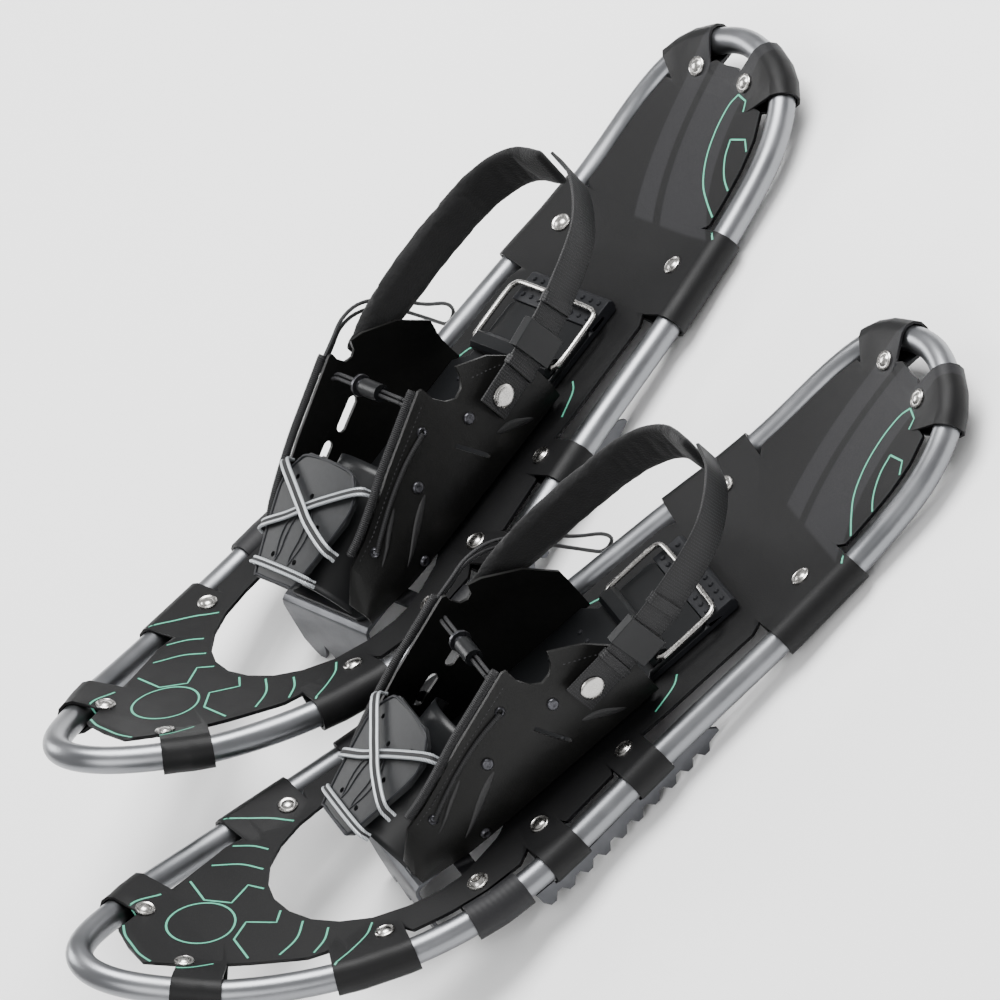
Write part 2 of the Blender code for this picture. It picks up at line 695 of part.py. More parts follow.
def lifter_clip(tag):
    """Low block across the heel of the base that holds the ends of the lifter wire."""
    half = HEEL_HALF - 0.001
    z = BED_TOP + GAP
    high = 0.0064
    ring = [(-0.0060, z), (0.0060, z), (0.0060, z + high - 0.0025), (0.0035, z + high), (-0.0035, z + high),
            (-0.0060, z + high - 0.0025)]
    block = slab(tag + "lifter_clip", [ring], -half, half, BASE)
    move(block, lambda p: Vector((p.z, HINGE_Y + p.x, p.y)))
    bores = []
    for side in (1, -1):
        bore = slab("bore", [circle(WIRE_D / 2 + GAP, 12)], half - 0.007, half + 0.002, BASE)
        move(bore, lambda p, side=side: Vector((side * p.z, HINGE_Y + p.x, HINGE_Z + p.y)))
        bores.append(bore)
    return combine(block, bores, "DIFFERENCE")


HINGE_Z = BED_TOP + GAP + 0.0032
LIFTER_HALF = HEEL_HALF + 0.0030


def heel_lifter(tag):
    """Wire bail: folded down it lies round the heel pad, stood up it carries the boot's heel."""
    reach = BED_BACK + 0.010
    inside = HEEL_HALF - 0.001 - 0.0055
    r = 0.007
    over = HINGE_Z + 0.0012
    half = [Vector((inside, HINGE_Y, HINGE_Z)), Vector((LIFTER_HALF - 0.0025, HINGE_Y, HINGE_Z)),
            Vector((LIFTER_HALF, HINGE_Y + 0.0025, HINGE_Z)), Vector((LIFTER_HALF, reach - r, over))]
    for a in np.radians((30, 60, 90)):
        half.append(Vector((LIFTER_HALF - r + r * math.cos(a), reach - r + r * math.sin(a), over)))
    path = half + [Vector((-p.x, p.y, p.z)) for p in reversed(half)]
    return sweep(tag + "heel_lifter", path, circle(WIRE_D / 2, 8), STEEL)


# ---------------------------------------------------------------- heel strap, cord
OUTER_PIN = Vector((WING_IN + WING_T + 0.0062, PIVOT_AT + 0.116, 0.0470))
INNER_PIN = Vector((-OUTER_PIN.x, PIVOT_AT + 0.108, 0.0620))


def strap_route():
    """Centre of the webbing from the outer rivet round the heel to the inner side."""
    x = OUTER_PIN.x - 0.0004
    y = OUTER_PIN.y
    return [Vector((x, y - 0.010, 0.0460)), Vector((x, y + 0.008, 0.0480)), Vector((x, y + 0.035, 0.0510)),
            Vector((x - 0.002, y + 0.065, 0.0570)), Vector((x - 0.010, y + 0.100, 0.0650)),
            Vector((x - 0.030, y + 0.123, 0.0720)), Vector((0.004, y + 0.130, 0.0770))]


def heel_strap(tag):
    """Webbing with the buckle on it."""
    return sweep(tag + "heel_strap", smooth(strap_route(), 3), flat_bar(WEB_W, 0.0018), WEBBING)


def heel_strap_pad(tag):
    """Soft wide part of the strap, from behind the heel to the inner rivet."""
    y = OUTER_PIN.y
    end = INNER_PIN
    route = [Vector((0.0030, y + 0.1250, 0.0770)), Vector((-0.022, y + 0.120, 0.0770)),
             Vector((-0.040, y + 0.100, 0.0745)), Vector((-0.0490, y + 0.068, 0.0710)),
             Vector((end.x + 0.002, y + 0.035, 0.0680)), Vector((end.x, end.y + 0.012, 0.0640)),
             Vector((end.x, end.y - 0.008, 0.0610))]
    path = smooth(route, 3)
    n = len(path)
    verts = []
    m = 8
    for i, (p, (side, rise)) in enumerate(zip(path, frames(path, (0, 0, 1)))):
        part = i / (n - 1)
        width = PAD_W if part < 0.72 else PAD_W - (PAD_W - 0.020) * (part - 0.72) / 0.28
        thick = 0.0058 if part < 0.72 else 0.0058 - 0.0030 * (part - 0.72) / 0.28
        verts += [p + side * s + rise * u for s, u in flat_bar(width, thick)]
    faces = []
    for i in range(n - 1):
        for k in range(m):
            faces.append((i * m + k, i * m + (k + 1) % m, (i + 1) * m + (k + 1) % m, (i + 1) * m + k))
    faces.append(tuple(range(m)))
    faces.append(tuple((n - 1) * m + k for k in range(m)))
    return solid(tag + "heel_strap_pad", verts, faces, FOAM)


def strap_pin(tag, name, pin, side, head):
    """Flat-headed rivet through a strap end and a wing."""
    face = abs(pin.x) + head
    profile = [(0, 0), (0.0068, 0), (0.0070, 0.0006), (0.0052, 0.0013), (0, 0.0013)]
    return turned(tag + name, profile, (side * face, pin.y, pin.z), (side, 0, 0), 16, STEEL)


def strap_buckle(tag):
    """Ladder buckle on the webbing above the outer rivet."""
    p = strap_route()[2]
    half_w = WEB_W / 2 + 0.0030
    inside = half_w - 0.0026
    frame = box(tag + "strap_buckle", (-0.009, -half_w, -0.0032), (0.009, half_w, 0.0032), BASE)
    hole = box("hole", (-0.012, -inside, -0.0016), (0.012, inside, 0.0016), BASE)
    combine(frame, [hole], "DIFFERENCE")
    lean = 0.155
    move(frame, lambda q: Vector((p.x + q.z, p.y + q.x * math.cos(lean) - q.y * math.sin(lean),
                                  p.z + q.x * math.sin(lean) + q.y * math.cos(lean))))
    return frame


CORD_D = 0.0022
CORD_APART = 0.0028                       # from strand to strand of the doubled cord
CORD_Z = 0.0810
CORD_Y = PIVOT_AT + 0.078
CORD_END = wing_side(CORD_Y, 1.0) - 0.0032

# the cord's spare length: over the inner wing's edge, out past the frame, round and back
LOOP_ROUTE = [(-0.0480, -0.0150, 0.0790), (-0.0525, 0.0000, 0.0800), (-0.0570, 0.0130, 0.0805),
              (-0.0625, 0.0265, 0.0740), (-0.0695, 0.0395, 0.0600), (-0.0795, 0.0515, 0.0385),
              (-0.0885, 0.0610, 0.0170), (-0.0960, 0.0680, 0.0000), (-0.1000, 0.0720, -0.0085),
              (-0.1020, 0.0770, -0.0110), (-0.1010, 0.0810, -0.0070), (-0.0965, 0.0785, 0.0035),
              (-0.0895, 0.0680, 0.0190), (-0.0800, 0.0560, 0.0410), (-0.0695, 0.0436, 0.0625),
              (-0.0625, 0.0305, 0.0770), (-0.0568, 0.0165, 0.0835), (-0.0523, 0.0030, 0.0832),
              (-0.0477, -0.0120, 0.0822)]


def drawcord(tag):
    """Doubled cord that draws the two wings together over the instep."""
    rise = [(CORD_END, -0.0040), (CORD_END - 0.005, -0.0012), (CORD_END - 0.010, -0.0001),
            (CORD_END - 0.013, 0.0)]
    line = [(-x, z) for x, z in rise] + rise[::-1]
    half = CORD_APART / 2
    out = [Vector((x, CORD_Y - half, CORD_Z + z)) for x, z in line]
    back = [Vector((x, CORD_Y + half, CORD_Z + z)) for x, z in line[::-1]]
    down = (out[-1] - out[-2]).normalized()
    middle = (out[-1] + back[0]) / 2
    turn = [middle + down * (half * math.sin(a)) - Vector((0, half * math.cos(a), 0))
            for a in (math.pi / 4, math.pi / 2, math.pi * 3 / 4)]
    return sweep(tag + "drawcord", out + turn + back, circle(CORD_D / 2, 6), CORD)


def cord_loop(tag):
    """The free bight of the same cord, hanging down outside the inner wing."""
    spread = (HALF_W - WING_IN) / 0.0457
    path = smooth([(-WING_IN - (-x - 0.0463) * spread, y, z) for x, y, z in LOOP_ROUTE], 2)
    curve = bpy.data.curves.new(tag + "cord_loop", "CURVE")
    curve.dimensions = "3D"
    curve.bevel_depth = CORD_D / 2
    curve.bevel_resolution = 1
    curve.use_fill_caps = True
    curve.render_resolution_u = 0
    curve.materials.append(CORD)
    spline = curve.splines.new("POLY")
    spline.points.add(len(path) - 1)
    for point, spot in zip(spline.points, path):
        point.co = (spot.x, spot.y, spot.z, 1.0)
    obj = bpy.data.objects.new(tag + "cord_loop", curve)
    bpy.context.collection.objects.link(obj)
    return obj


BARREL_R = 0.0052
BARREL = (-0.0045, 0.0105)                # along the cord, from the lock's middle
STEM_R = 0.0036
STEM_END = 0.0030
PRESS = 0.0030                            # travel of the release button


def along_cord(piece):
    """Turn a piece modelled upright so that it lies along the doubled cord."""
    move(piece, lambda p: Vector((p.z, CORD_Y + p.x, CORD_Z + p.y)))
    return piece


def cord_slot(low, high):
    """Cutter for the slot that both strands run through."""
    r = CORD_D / 2 + 0.0004
    ring = []
    for side in (1, -1):
        ring += [(side * (CORD_APART / 2 + r * math.cos(a)), side * r * math.sin(a))
                 for a in np.radians((-90, -45, 0, 45, 90))]
    return slab("slot", [ring], low, high, BASE)


def cord_lock(tag):
    """Barrel of the cord lock; it slides along the doubled cord."""
    body = slab(tag + "cord_lock", [circle(BARREL_R, 12)], BARREL[0], BARREL[1], BASE)
    well = slab("well", [circle(STEM_R + GAP, 12)], BARREL[0] - 0.002, STEM_END + PRESS + 0.0005, BASE)
    combine(body, [cord_slot(BARREL[0] - 0.002, BARREL[1] + 0.002), well], "DIFFERENCE")
    return along_cord(body)


def lock_button(tag):
    """Sprung release button of the cord lock: a flat head on a slotted stem."""
    head = BARREL[0] - PRESS - GAP
    body = slab(tag + "lock_button", [circle(STEM_R, 12)], head - 0.0005, STEM_END, BASE)
    plate = slab("plate", [circle(BARREL_R + 0.0013, 12)], head - 0.0020, head, BASE)
    combine(body, [plate], "UNION")
    combine(body, [cord_slot(head - 0.004, STEM_END + 0.002)], "DIFFERENCE")
    return along_cord(body)


# ---------------------------------------------------------------- build both shoes and stand them up
REST_BACK = Vector((0, RAIL_START + 0.001 + (RAIL_TEETH - 0.5) * RAIL_PITCH, RAIL_TIP))
CLAW_REACH = (CLAW_R - CLAW_T) * math.sin(CLAW_TURN) + CLAW_DROP * math.cos(CLAW_TURN)
REST_FRONT = Vector((0, CLAW_FOLD - CLAW_REACH, CLAW_TIP))


def standing():
    """Tip a shoe so that its front claws and the back of its rails stand on the floor."""
    rise = REST_BACK.z - REST_FRONT.z
    run = REST_BACK.y - REST_FRONT.y
    tip = Matrix.Rotation(-math.atan2(rise, run), 4, "X")
    drop = (tip @ REST_FRONT).z
    return Matrix.Translation((0, 0, -drop)) @ tip


def pivot_empty(name, parent, spot):
    """An empty on a joint's axis; spot is in the shoe's own frame."""
    empty = bpy.data.objects.new(name, None)
    bpy.context.collection.objects.link(empty)
    empty.empty_display_size = 0.02
    empty.parent = parent
    empty.location = spot - (Vector(parent["spot"]) if parent else Vector())
    empty["spot"] = spot
    return empty


def carry(empty, pieces):
    """Hang finished pieces, made in the shoe's own frame, on the empty that moves them."""
    for piece in pieces:
        piece.data.transform(Matrix.Translation(-Vector(empty["spot"])))
        piece.parent = empty


def build_shoe(tag, place):
    """One whole shoe, stood on the floor by its root empty."""
    shoe = pivot_empty(tag + "shoe", None, Vector())
    carry(shoe, [frame_tube(tag), deck(tag), pivot_strap(tag),
                 side_rail(tag, "outer_rail", 1), side_rail(tag, "inner_rail", -1),
                 pivot_bolt(tag, "outer_pivot_bolt", 1), pivot_bolt(tag, "inner_pivot_bolt", -1)])

    binding = pivot_empty(tag + "binding", shoe, Vector((0, PIVOT_AT, PIVOT_Z)))
    carry(binding, [footbed(tag), heel_pad(tag), toe_crampon(tag), lifter_clip(tag),
                    toe_cup(tag), toe_plate(tag), drawcord(tag), cord_loop(tag),
                    wing(tag, "outer_wing", 1), wing(tag, "inner_wing", -1),
                    hem(tag, "outer_hem", 1), hem(tag, "inner_hem", -1),
                    lace(tag, "lace_low", 1, 0.0), lace(tag, "lace_high", -1, 0.0026), toe_lace(tag)])

    lifter = pivot_empty(tag + "lifter", binding, Vector((0, HINGE_Y, HINGE_Z)))
    carry(lifter, [heel_lifter(tag)])

    strap = pivot_empty(tag + "strap", binding, OUTER_PIN)
    carry(strap, [heel_strap(tag), heel_strap_pad(tag), strap_buckle(tag),
                  strap_pin(tag, "outer_strap_rivet", OUTER_PIN, 1, 0.0009),
                  strap_pin(tag, "inner_strap_rivet", INNER_PIN, -1, 0.0030)])

    slider = pivot_empty(tag + "slider", binding, Vector((0, CORD_Y, CORD_Z)))
    carry(slider, [cord_lock(tag)])

    button = pivot_empty(tag + "button", slider, Vector((BARREL[0], CORD_Y, CORD_Z)))
    carry(button, [lock_button(tag)])
    shoe.matrix_world = place
    return shoe


def centre_on_floor(shoes):
    """Move the pair so that the origin is on the floor at the middle of its footprint."""
    bpy.context.view_layer.update()
    corners = []
    for obj in bpy.data.objects:
        if obj.type == "MESH":
            corners += [obj.matrix_world @ v.co for v in obj.data.vertices]
    lows = [min(c[k] for c in corners) for k in range(3)]
    highs = [max(c[k] for c in corners) for k in range(3)]
    for shoe in shoes:
        shoe.location -= Vector(((lows[0] + highs[0]) / 2, (lows[1] + highs[1]) / 2, lows[2]))


SECOND = Matrix.Translation((*PAIR_SHIFT, 0)) @ Matrix.Rotation(PAIR_TURN, 4, "Z")
near = build_shoe("near_", standing())
far = build_shoe("far_", SECOND @ standing())
centre_on_floor((near, far))
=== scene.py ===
"""A pair of snowshoes: bent tube frames, coated decks, strap bindings on steel claws."""
import json
import math

import bmesh
import bpy
import numpy as np
from mathutils import Matrix, Vector
from mathutils.bvhtree import BVHTree


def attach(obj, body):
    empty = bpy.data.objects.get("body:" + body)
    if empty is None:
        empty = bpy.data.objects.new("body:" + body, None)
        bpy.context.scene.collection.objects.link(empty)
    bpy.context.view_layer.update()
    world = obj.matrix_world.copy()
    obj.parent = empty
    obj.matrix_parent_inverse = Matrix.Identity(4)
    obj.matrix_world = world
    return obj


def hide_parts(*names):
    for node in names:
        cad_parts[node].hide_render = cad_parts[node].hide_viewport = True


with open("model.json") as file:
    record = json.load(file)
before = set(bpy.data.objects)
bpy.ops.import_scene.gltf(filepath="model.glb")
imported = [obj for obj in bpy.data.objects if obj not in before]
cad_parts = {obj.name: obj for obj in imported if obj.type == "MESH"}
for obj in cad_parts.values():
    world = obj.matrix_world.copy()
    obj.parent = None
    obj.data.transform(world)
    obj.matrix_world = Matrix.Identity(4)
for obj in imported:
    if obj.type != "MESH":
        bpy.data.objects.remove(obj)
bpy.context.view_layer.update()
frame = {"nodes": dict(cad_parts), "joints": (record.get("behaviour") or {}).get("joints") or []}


# ---------------------------------------------------------------- camera
# A long lens from the buckle side, well above the shoes and tipped over, so that they climb
# from the lower left of the frame to the upper right.
CAMERA_AZIMUTH = math.radians(94.9)
CAMERA_HEIGHT = math.radians(37.6)
CAMERA_ROLL = math.radians(-47.2)
CAMERA_AWAY = 9.0
VIEW_WIDTH = 0.5523
CAMERA_AIM = Vector((-0.0378, 0.0251, 0.030))

toward = Vector((math.sin(CAMERA_AZIMUTH) * math.cos(CAMERA_HEIGHT),
                 -math.cos(CAMERA_AZIMUTH) * math.cos(CAMERA_HEIGHT), math.sin(CAMERA_HEIGHT)))
level = Vector((0, 0, 1)).cross(toward).normalized()
upright = toward.cross(level)
right = level * math.cos(CAMERA_ROLL) + upright * math.sin(CAMERA_ROLL)
up = upright * math.cos(CAMERA_ROLL) - level * math.sin(CAMERA_ROLL)
lens = bpy.data.cameras.new("camera")
lens.sensor_width = 36.0
lens.lens = 36.0 * CAMERA_AWAY / VIEW_WIDTH
lens.clip_start = 0.1
lens.clip_end = 60.0
camera = bpy.data.objects.new("camera", lens)
bpy.context.scene.collection.objects.link(camera)
camera.matrix_world = Matrix.Translation(CAMERA_AIM + toward * CAMERA_AWAY) @ Matrix(
    (right, up, toward)).transposed().to_4x4()
bpy.context.scene.camera = camera


# ---------------------------------------------------------------- the two shoes
# Both shoes are the same and lean back a little, standing on the claws and the ends of the
# toothed rails. A shoe's own frame has +Y from nose to tail and +X to its buckle side.
SHOES = ("near_", "far_")
LEAN_BACK = math.asin(0.0649)
PIVOT_Y = -0.09226
PIVOT_Z = 0.00494
BED_TOP = 0.01374
WING_FOOT = 0.01074
WING_IN = 0.0463
WING_T = 0.0020


def shoe_place(shoe):
    """World matrix of a shoe's own frame, worked out from its toe pivot."""
    joint = next(j for j in frame["joints"] if j["name"] == shoe + "toe_pivot")
    across = Vector(joint["axis"]).normalized()
    flat_along = Vector((0, 0, 1)).cross(across)
    along = flat_along * math.cos(LEAN_BACK) - Vector((0, 0, math.sin(LEAN_BACK)))
    turned = Matrix((across, along, across.cross(along))).transposed().to_4x4()
    return Matrix.Translation(joint["pos_m"]) @ turned @ Matrix.Translation((0, -PIVOT_Y, -PIVOT_Z))


place = {shoe: shoe_place(shoe) for shoe in SHOES}


# ---------------------------------------------------------------- frame tube
# One length of 16 mm aluminium tube, bent to a closed loop with the nose and tail turned up,
# then bead blasted and anodised: a satin grey with a soft highlight and faint draw marks.
def put(piece, shoe, body, slot, *nodes):
    """Let a finished piece ride on its body and stand for its plain parts."""
    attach(piece, shoe + body)
    if nodes:
        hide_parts(*[shoe + n for n in nodes])
    return piece


def linear(code):
    """sRGB hex to the linear colour that a shader takes."""
    parts = [int(code[k:k + 2], 16) / 255 for k in (1, 3, 5)]
    return (*[p / 12.92 if p <= 0.04045 else ((p + 0.055) / 1.055) ** 2.4 for p in parts], 1.0)


def node(tree, kind, values=None, links=None, **settings):
    """Add one node with its settings, its socket values and its incoming links."""
    made = tree.nodes.new(kind)
    for key, value in settings.items():
        setattr(made, key, value)
    for key, value in (values or {}).items():
        made.inputs[key].default_value = value
    for key, source in (links or {}).items():
        tree.links.new(source, made.inputs[key])
    return made


def finish_named(name, colour, rough, metal=0.0, **sockets):
    """A material with one shader, its constant values on the shader's own sockets."""
    mat = bpy.data.materials.new(name)
    mat.use_nodes = True
    shader = mat.node_tree.nodes["Principled BSDF"]
    shader.inputs["Base Color"].default_value = linear(colour)
    shader.inputs["Roughness"].default_value = rough
    shader.inputs["Metallic"].default_value = metal
    for key, value in sockets.items():
        shader.inputs[key.replace("_", " ")].default_value = value
    mat.diffuse_color = linear(colour)
    return mat, mat.node_tree, shader


def roughen(tree, shader, height, depth):
    """Send a height pattern to the shader's normal; depth is the real relief in metres."""
    bump = node(tree, "ShaderNodeBump", {"Distance": depth, "Strength": 1.0}, {"Height": height})
    tree.links.new(bump.outputs["Normal"], shader.inputs["Normal"])


def two_tone(tree, shader, factor, dark, light):
    """Colour between two tones by a pattern."""
    mix = node(tree, "ShaderNodeMix", data_type="RGBA")
    mix.inputs["A"].default_value = linear(dark)
    mix.inputs["B"].default_value = linear(light)
    tree.links.new(factor, mix.inputs["Factor"])
    tree.links.new(mix.outputs["Result"], shader.inputs["Base Color"])
    return mix


def new_piece(name, bm, mat, smooth=math.radians(40)):
    """An object from a bmesh in world places; edges sharper than the angle stay sharp."""
    mesh = bpy.data.meshes.new(name)
    bm.to_mesh(mesh)
    bm.free()
    mesh.materials.append(mat)
    mesh.polygons.foreach_set("use_smooth", [True] * len(mesh.polygons))
    if smooth is not None:
        mesh.set_sharp_from_angle(angle=smooth)
    piece = bpy.data.objects.new(name, mesh)
    bpy.context.scene.collection.objects.link(piece)
    return piece


def merged_copy(node_name, name, mat, levels=0, bevel=0.0, sharp=math.radians(35)):
    """A copy of a plain part with its triangles joined up, then rounded or subdivided."""
    bm = bmesh.new()
    bm.from_mesh(frame["nodes"][node_name].data)
    bmesh.ops.remove_doubles(bm, verts=bm.verts, dist=0.00001)
    bmesh.ops.join_triangles(bm, faces=bm.faces, angle_face_threshold=math.radians(12),
                             angle_shape_threshold=math.radians(70))
    if levels:
        crease = bm.edges.layers.float.new("crease_edge")
        for edge in bm.edges:
            if edge.is_manifold and edge.calc_face_angle(0.0) > sharp:
                edge[crease] = 1.0
    piece = new_piece(name, bm, mat, None if levels else sharp)
    if bevel:
        rounding = piece.modifiers.new("rounded_edges", "BEVEL")
        rounding.width = bevel
        rounding.segments = 2
        rounding.limit_method = "ANGLE"
        rounding.angle_limit = sharp
        rounding.harden_normals = True
    if levels:
        finer = piece.modifiers.new("finer", "SUBSURF")
        finer.levels = levels
        finer.render_levels = levels
    return piece


anodised, tree, shader = finish_named("anodised_aluminium", "#96989b", 0.36, 1.0)
spot = node(tree, "ShaderNodeTexCoord").outputs["Object"]
# bead blasting leaves pits about 0.3 mm across; drawn at 0.6 mm so that they show
pits = node(tree, "ShaderNodeTexNoise", {"Scale": 1 / 0.0006, "Detail": 2.0}, {"Vector": spot})
patches = node(tree, "ShaderNodeTexNoise", {"Scale": 1 / 0.030, "Detail": 3.0}, {"Vector": spot})
dull = node(tree, "ShaderNodeMapRange", {"From Min": 0.3, "From Max": 0.7, "To Min": 0.30, "To Max": 0.42},
            {"Value": patches.outputs["Fac"]})
tree.links.new(dull.outputs["Result"], shader.inputs["Roughness"])
two_tone(tree, shader, patches.outputs["Fac"], "#737578", "#88898c")
roughen(tree, shader, pits.outputs["Fac"], 0.00002)

for shoe in SHOES:
    tube = merged_copy(shoe + "frame_tube", shoe + "bent_tube", anodised, levels=2)
    put(tube, shoe, "snowshoe", "tube", "frame_tube")


# ---------------------------------------------------------------- deck
# Nylon sheet with a polyurethane coating, cut in one piece; its tabs go round the tube and
# come back under the sheet. The coating has a fine leather grain and broad grey bands of a
# speckled second ink across the tail and the nose.
def plan_map(piece, shoe):
    """UV map that holds each point's place across and along its shoe, in metres."""
    back = place[shoe].inverted()
    layer = piece.data.uv_layers.new(name="plan")
    spots = [back @ v.co for v in piece.data.vertices]
    for loop in piece.data.loops:
        layer.data[loop.index].uv = spots[loop.vertex_index].xy


def ring_band(tree, plan, centre, inner, outer, soft=0.0006):
    """1 between two circles on the plan map and 0 elsewhere."""
    away = node(tree, "ShaderNodeVectorMath", {1: (*centre, 0.0)}, {0: plan}, operation="DISTANCE")
    away = away.outputs["Value"]
    past_inner = node(tree, "ShaderNodeMapRange", {"From Min": inner - soft, "From Max": inner + soft},
                      {"Value": away})
    in_outer = node(tree, "ShaderNodeMapRange", {"From Min": outer + soft, "From Max": outer - soft},
                    {"Value": away})
    both = node(tree, "ShaderNodeMath", None,
                {0: past_inner.outputs["Result"], 1: in_outer.outputs["Result"]}, operation="MULTIPLY")
    return both.outputs["Value"]


coated, tree, shader = finish_named("polyurethane_coated_nylon", "#121214", 0.50, Specular_IOR_Level=0.20)
plan = node(tree, "ShaderNodeUVMap", uv_map="plan").outputs["UV"]
spot = node(tree, "ShaderNodeTexCoord").outputs["Object"]
# leather grain about 0.9 mm across
cells = node(tree, "ShaderNodeTexVoronoi", {"Scale": 1 / 0.0009}, {"Vector": spot})
grain = node(tree, "ShaderNodeTexNoise", {"Scale": 1 / 0.0005, "Detail": 3.0}, {"Vector": spot})
relief = node(tree, "ShaderNodeMath", {1: 0.5}, {0: cells.outputs["Distance"]}, operation="MULTIPLY")
relief = node(tree, "ShaderNodeMath", None, {0: relief.outputs["Value"], 1: grain.outputs["Fac"]},
              operation="ADD")
roughen(tree, shader, relief.outputs["Value"], 0.00006)
# the grey bands: parts of wide rings that sweep across the tail
TAIL_SWEEP = (0.1250, 0.2480)
wide = ring_band(tree, plan, TAIL_SWEEP, 0.1000, 0.1325)
slim = ring_band(tree, plan, TAIL_SWEEP, 0.1380, 0.1520)
bands = node(tree, "ShaderNodeMath", None, {0: wide, 1: slim}, operation="MAXIMUM")
across = node(tree, "ShaderNodeSeparateXYZ", None, {"Vector": plan})
past_tail = node(tree, "ShaderNodeMapRange", {"From Min": 0.1660, "From Max": 0.1680},
                 {"Value": across.outputs["Y"]})
bands = node(tree, "ShaderNodeMath", None, {0: bands.outputs["Value"], 1: past_tail.outputs["Result"]},
             operation="MULTIPLY")
speckle = node(tree, "ShaderNodeTexNoise", {"Scale": 1 / 0.0012, "Detail": 4.0, "Roughness": 0.8},
               {"Vector": spot})
ink = node(tree, "ShaderNodeMapRange", {"From Min": 0.30, "From Max": 0.62, "To Min": 0.55, "To Max": 1.0},
           {"Value": speckle.outputs["Fac"]})
cover = node(tree, "ShaderNodeMath", None, {0: bands.outputs["Value"], 1: ink.outputs["Result"]},
             operation="MULTIPLY")
two_tone(tree, shader, cover.outputs["Value"], "#0b0b0c", "#202022")
worn = node(tree, "ShaderNodeTexNoise", {"Scale": 1 / 0.020, "Detail": 4.0}, {"Vector": spot})
dull = node(tree, "ShaderNodeMapRange", {"To Min": 0.44, "To Max": 0.60}, {"Value": worn.outputs["Fac"]})
tree.links.new(dull.outputs["Result"], shader.inputs["Roughness"])

deck_tree = {}
for shoe in SHOES:
    deck = merged_copy(shoe + "deck", shoe + "deck_sheet", coated, sharp=math.radians(50))
    weighted = deck.modifiers.new("even_shading", "WEIGHTED_NORMAL")
    weighted.keep_sharp = True
    plan_map(deck, shoe)
    put(deck, shoe, "snowshoe", "deck_sheet", "deck")
    bm = bmesh.new()
    bm.from_mesh(deck.data)
    deck_tree[shoe] = BVHTree.FromBMesh(bm)
    bm.free()


def on_deck(shoe, x, y, lift=0.0):
    """The point of the deck straight above or below a place on the shoe's plan, and its normal."""
    start = place[shoe] @ Vector((x, y, 0.20))
    down = -(place[shoe].to_3x3() @ Vector((0, 0, 1)))
    hit, normal, _, _ = deck_tree[shoe].ray_cast(start, down)
    if hit is None:
        return None, None
    return hit + normal * lift, normal


# ---------------------------------------------------------------- printed lines
# Screen-printed lines in one mint ink, 1.1 mm wide: a ring on the nose, short steps round the
# tabs, and two long arcs on the tail. The ink is a thin dull film.
mint, tree, shader = finish_named("mint_screen_ink", "#4a9c83", 0.50, Specular_IOR_Level=0.30)
spot = node(tree, "ShaderNodeTexCoord").outputs["Object"]
thin_ink = node(tree, "ShaderNodeTexNoise", {"Scale": 1 / 0.0008, "Detail": 3.0}, {"Vector": spot})
two_tone(tree, shader, thin_ink.outputs["Fac"], "#3a8870", "#57ad92")
roughen(tree, shader, thin_ink.outputs["Fac"], 0.00002)
LINE_WIDTH = 0.0011


def rounded(points, steps=6, closed=False):
    """Points along a smooth curve through the given ones."""
    pts = [Vector(p) for p in points]
    n = len(pts)
    out = []
    for i in range(n if closed else n - 1):
        before = pts[i - 1] if closed or i else pts[0] * 2 - pts[1]
        a = pts[i]
        b = pts[(i + 1) % n]
        after = pts[(i + 2) % n] if closed or i < n - 2 else pts[-1] * 2 - pts[-2]
        for k in range(steps):
            t = k / steps
            out.append(0.5 * (2 * a + (b - before) * t + (2 * before - 5 * a + 4 * b - after) * t * t
                              + (3 * a - before - 3 * b + after) * t ** 3))
    return out if closed else out + [pts[-1]]


def straight(points, step=0.003):
    """Points no further apart than the step along straight runs."""
    out = []
    for a, b in zip(points, points[1:]):
        a = Vector(a)
        b = Vector(b)
        count = max(1, round((b - a).length / step))
        out += [a.lerp(b, k / count) for k in range(count)]
    return out + [Vector(points[-1])]


def printed_line(bm, shoe, path, closed=False):
    """A flat ribbon of ink that follows the deck."""
    rows = []
    n = len(path)
    for i, p in enumerate(path):
        ahead = path[(i + 1) % n] if closed else path[min(i + 1, n - 1)]
        behind = path[i - 1] if closed or i else path[0]
        run = (ahead - behind).normalized()
        side = Vector((-run.y, run.x)) * LINE_WIDTH / 2
        ends = [on_deck(shoe, *(p + side), 0.00008)[0], on_deck(shoe, *(p - side), 0.00008)[0]]
        rows.append([bm.verts.new(e) for e in ends] if all(ends) else None)
    pairs = list(zip(rows, rows[1:] + rows[:1])) if closed else list(zip(rows, rows[1:]))
    for a, b in pairs:
        if a and b and (a[0].co - b[0].co).length < 0.012:
            face = bm.faces.new((a[0], a[1], b[1], b[0]))
            face.normal_update()
            if face.normal.z < 0:
                face.normal_flip()


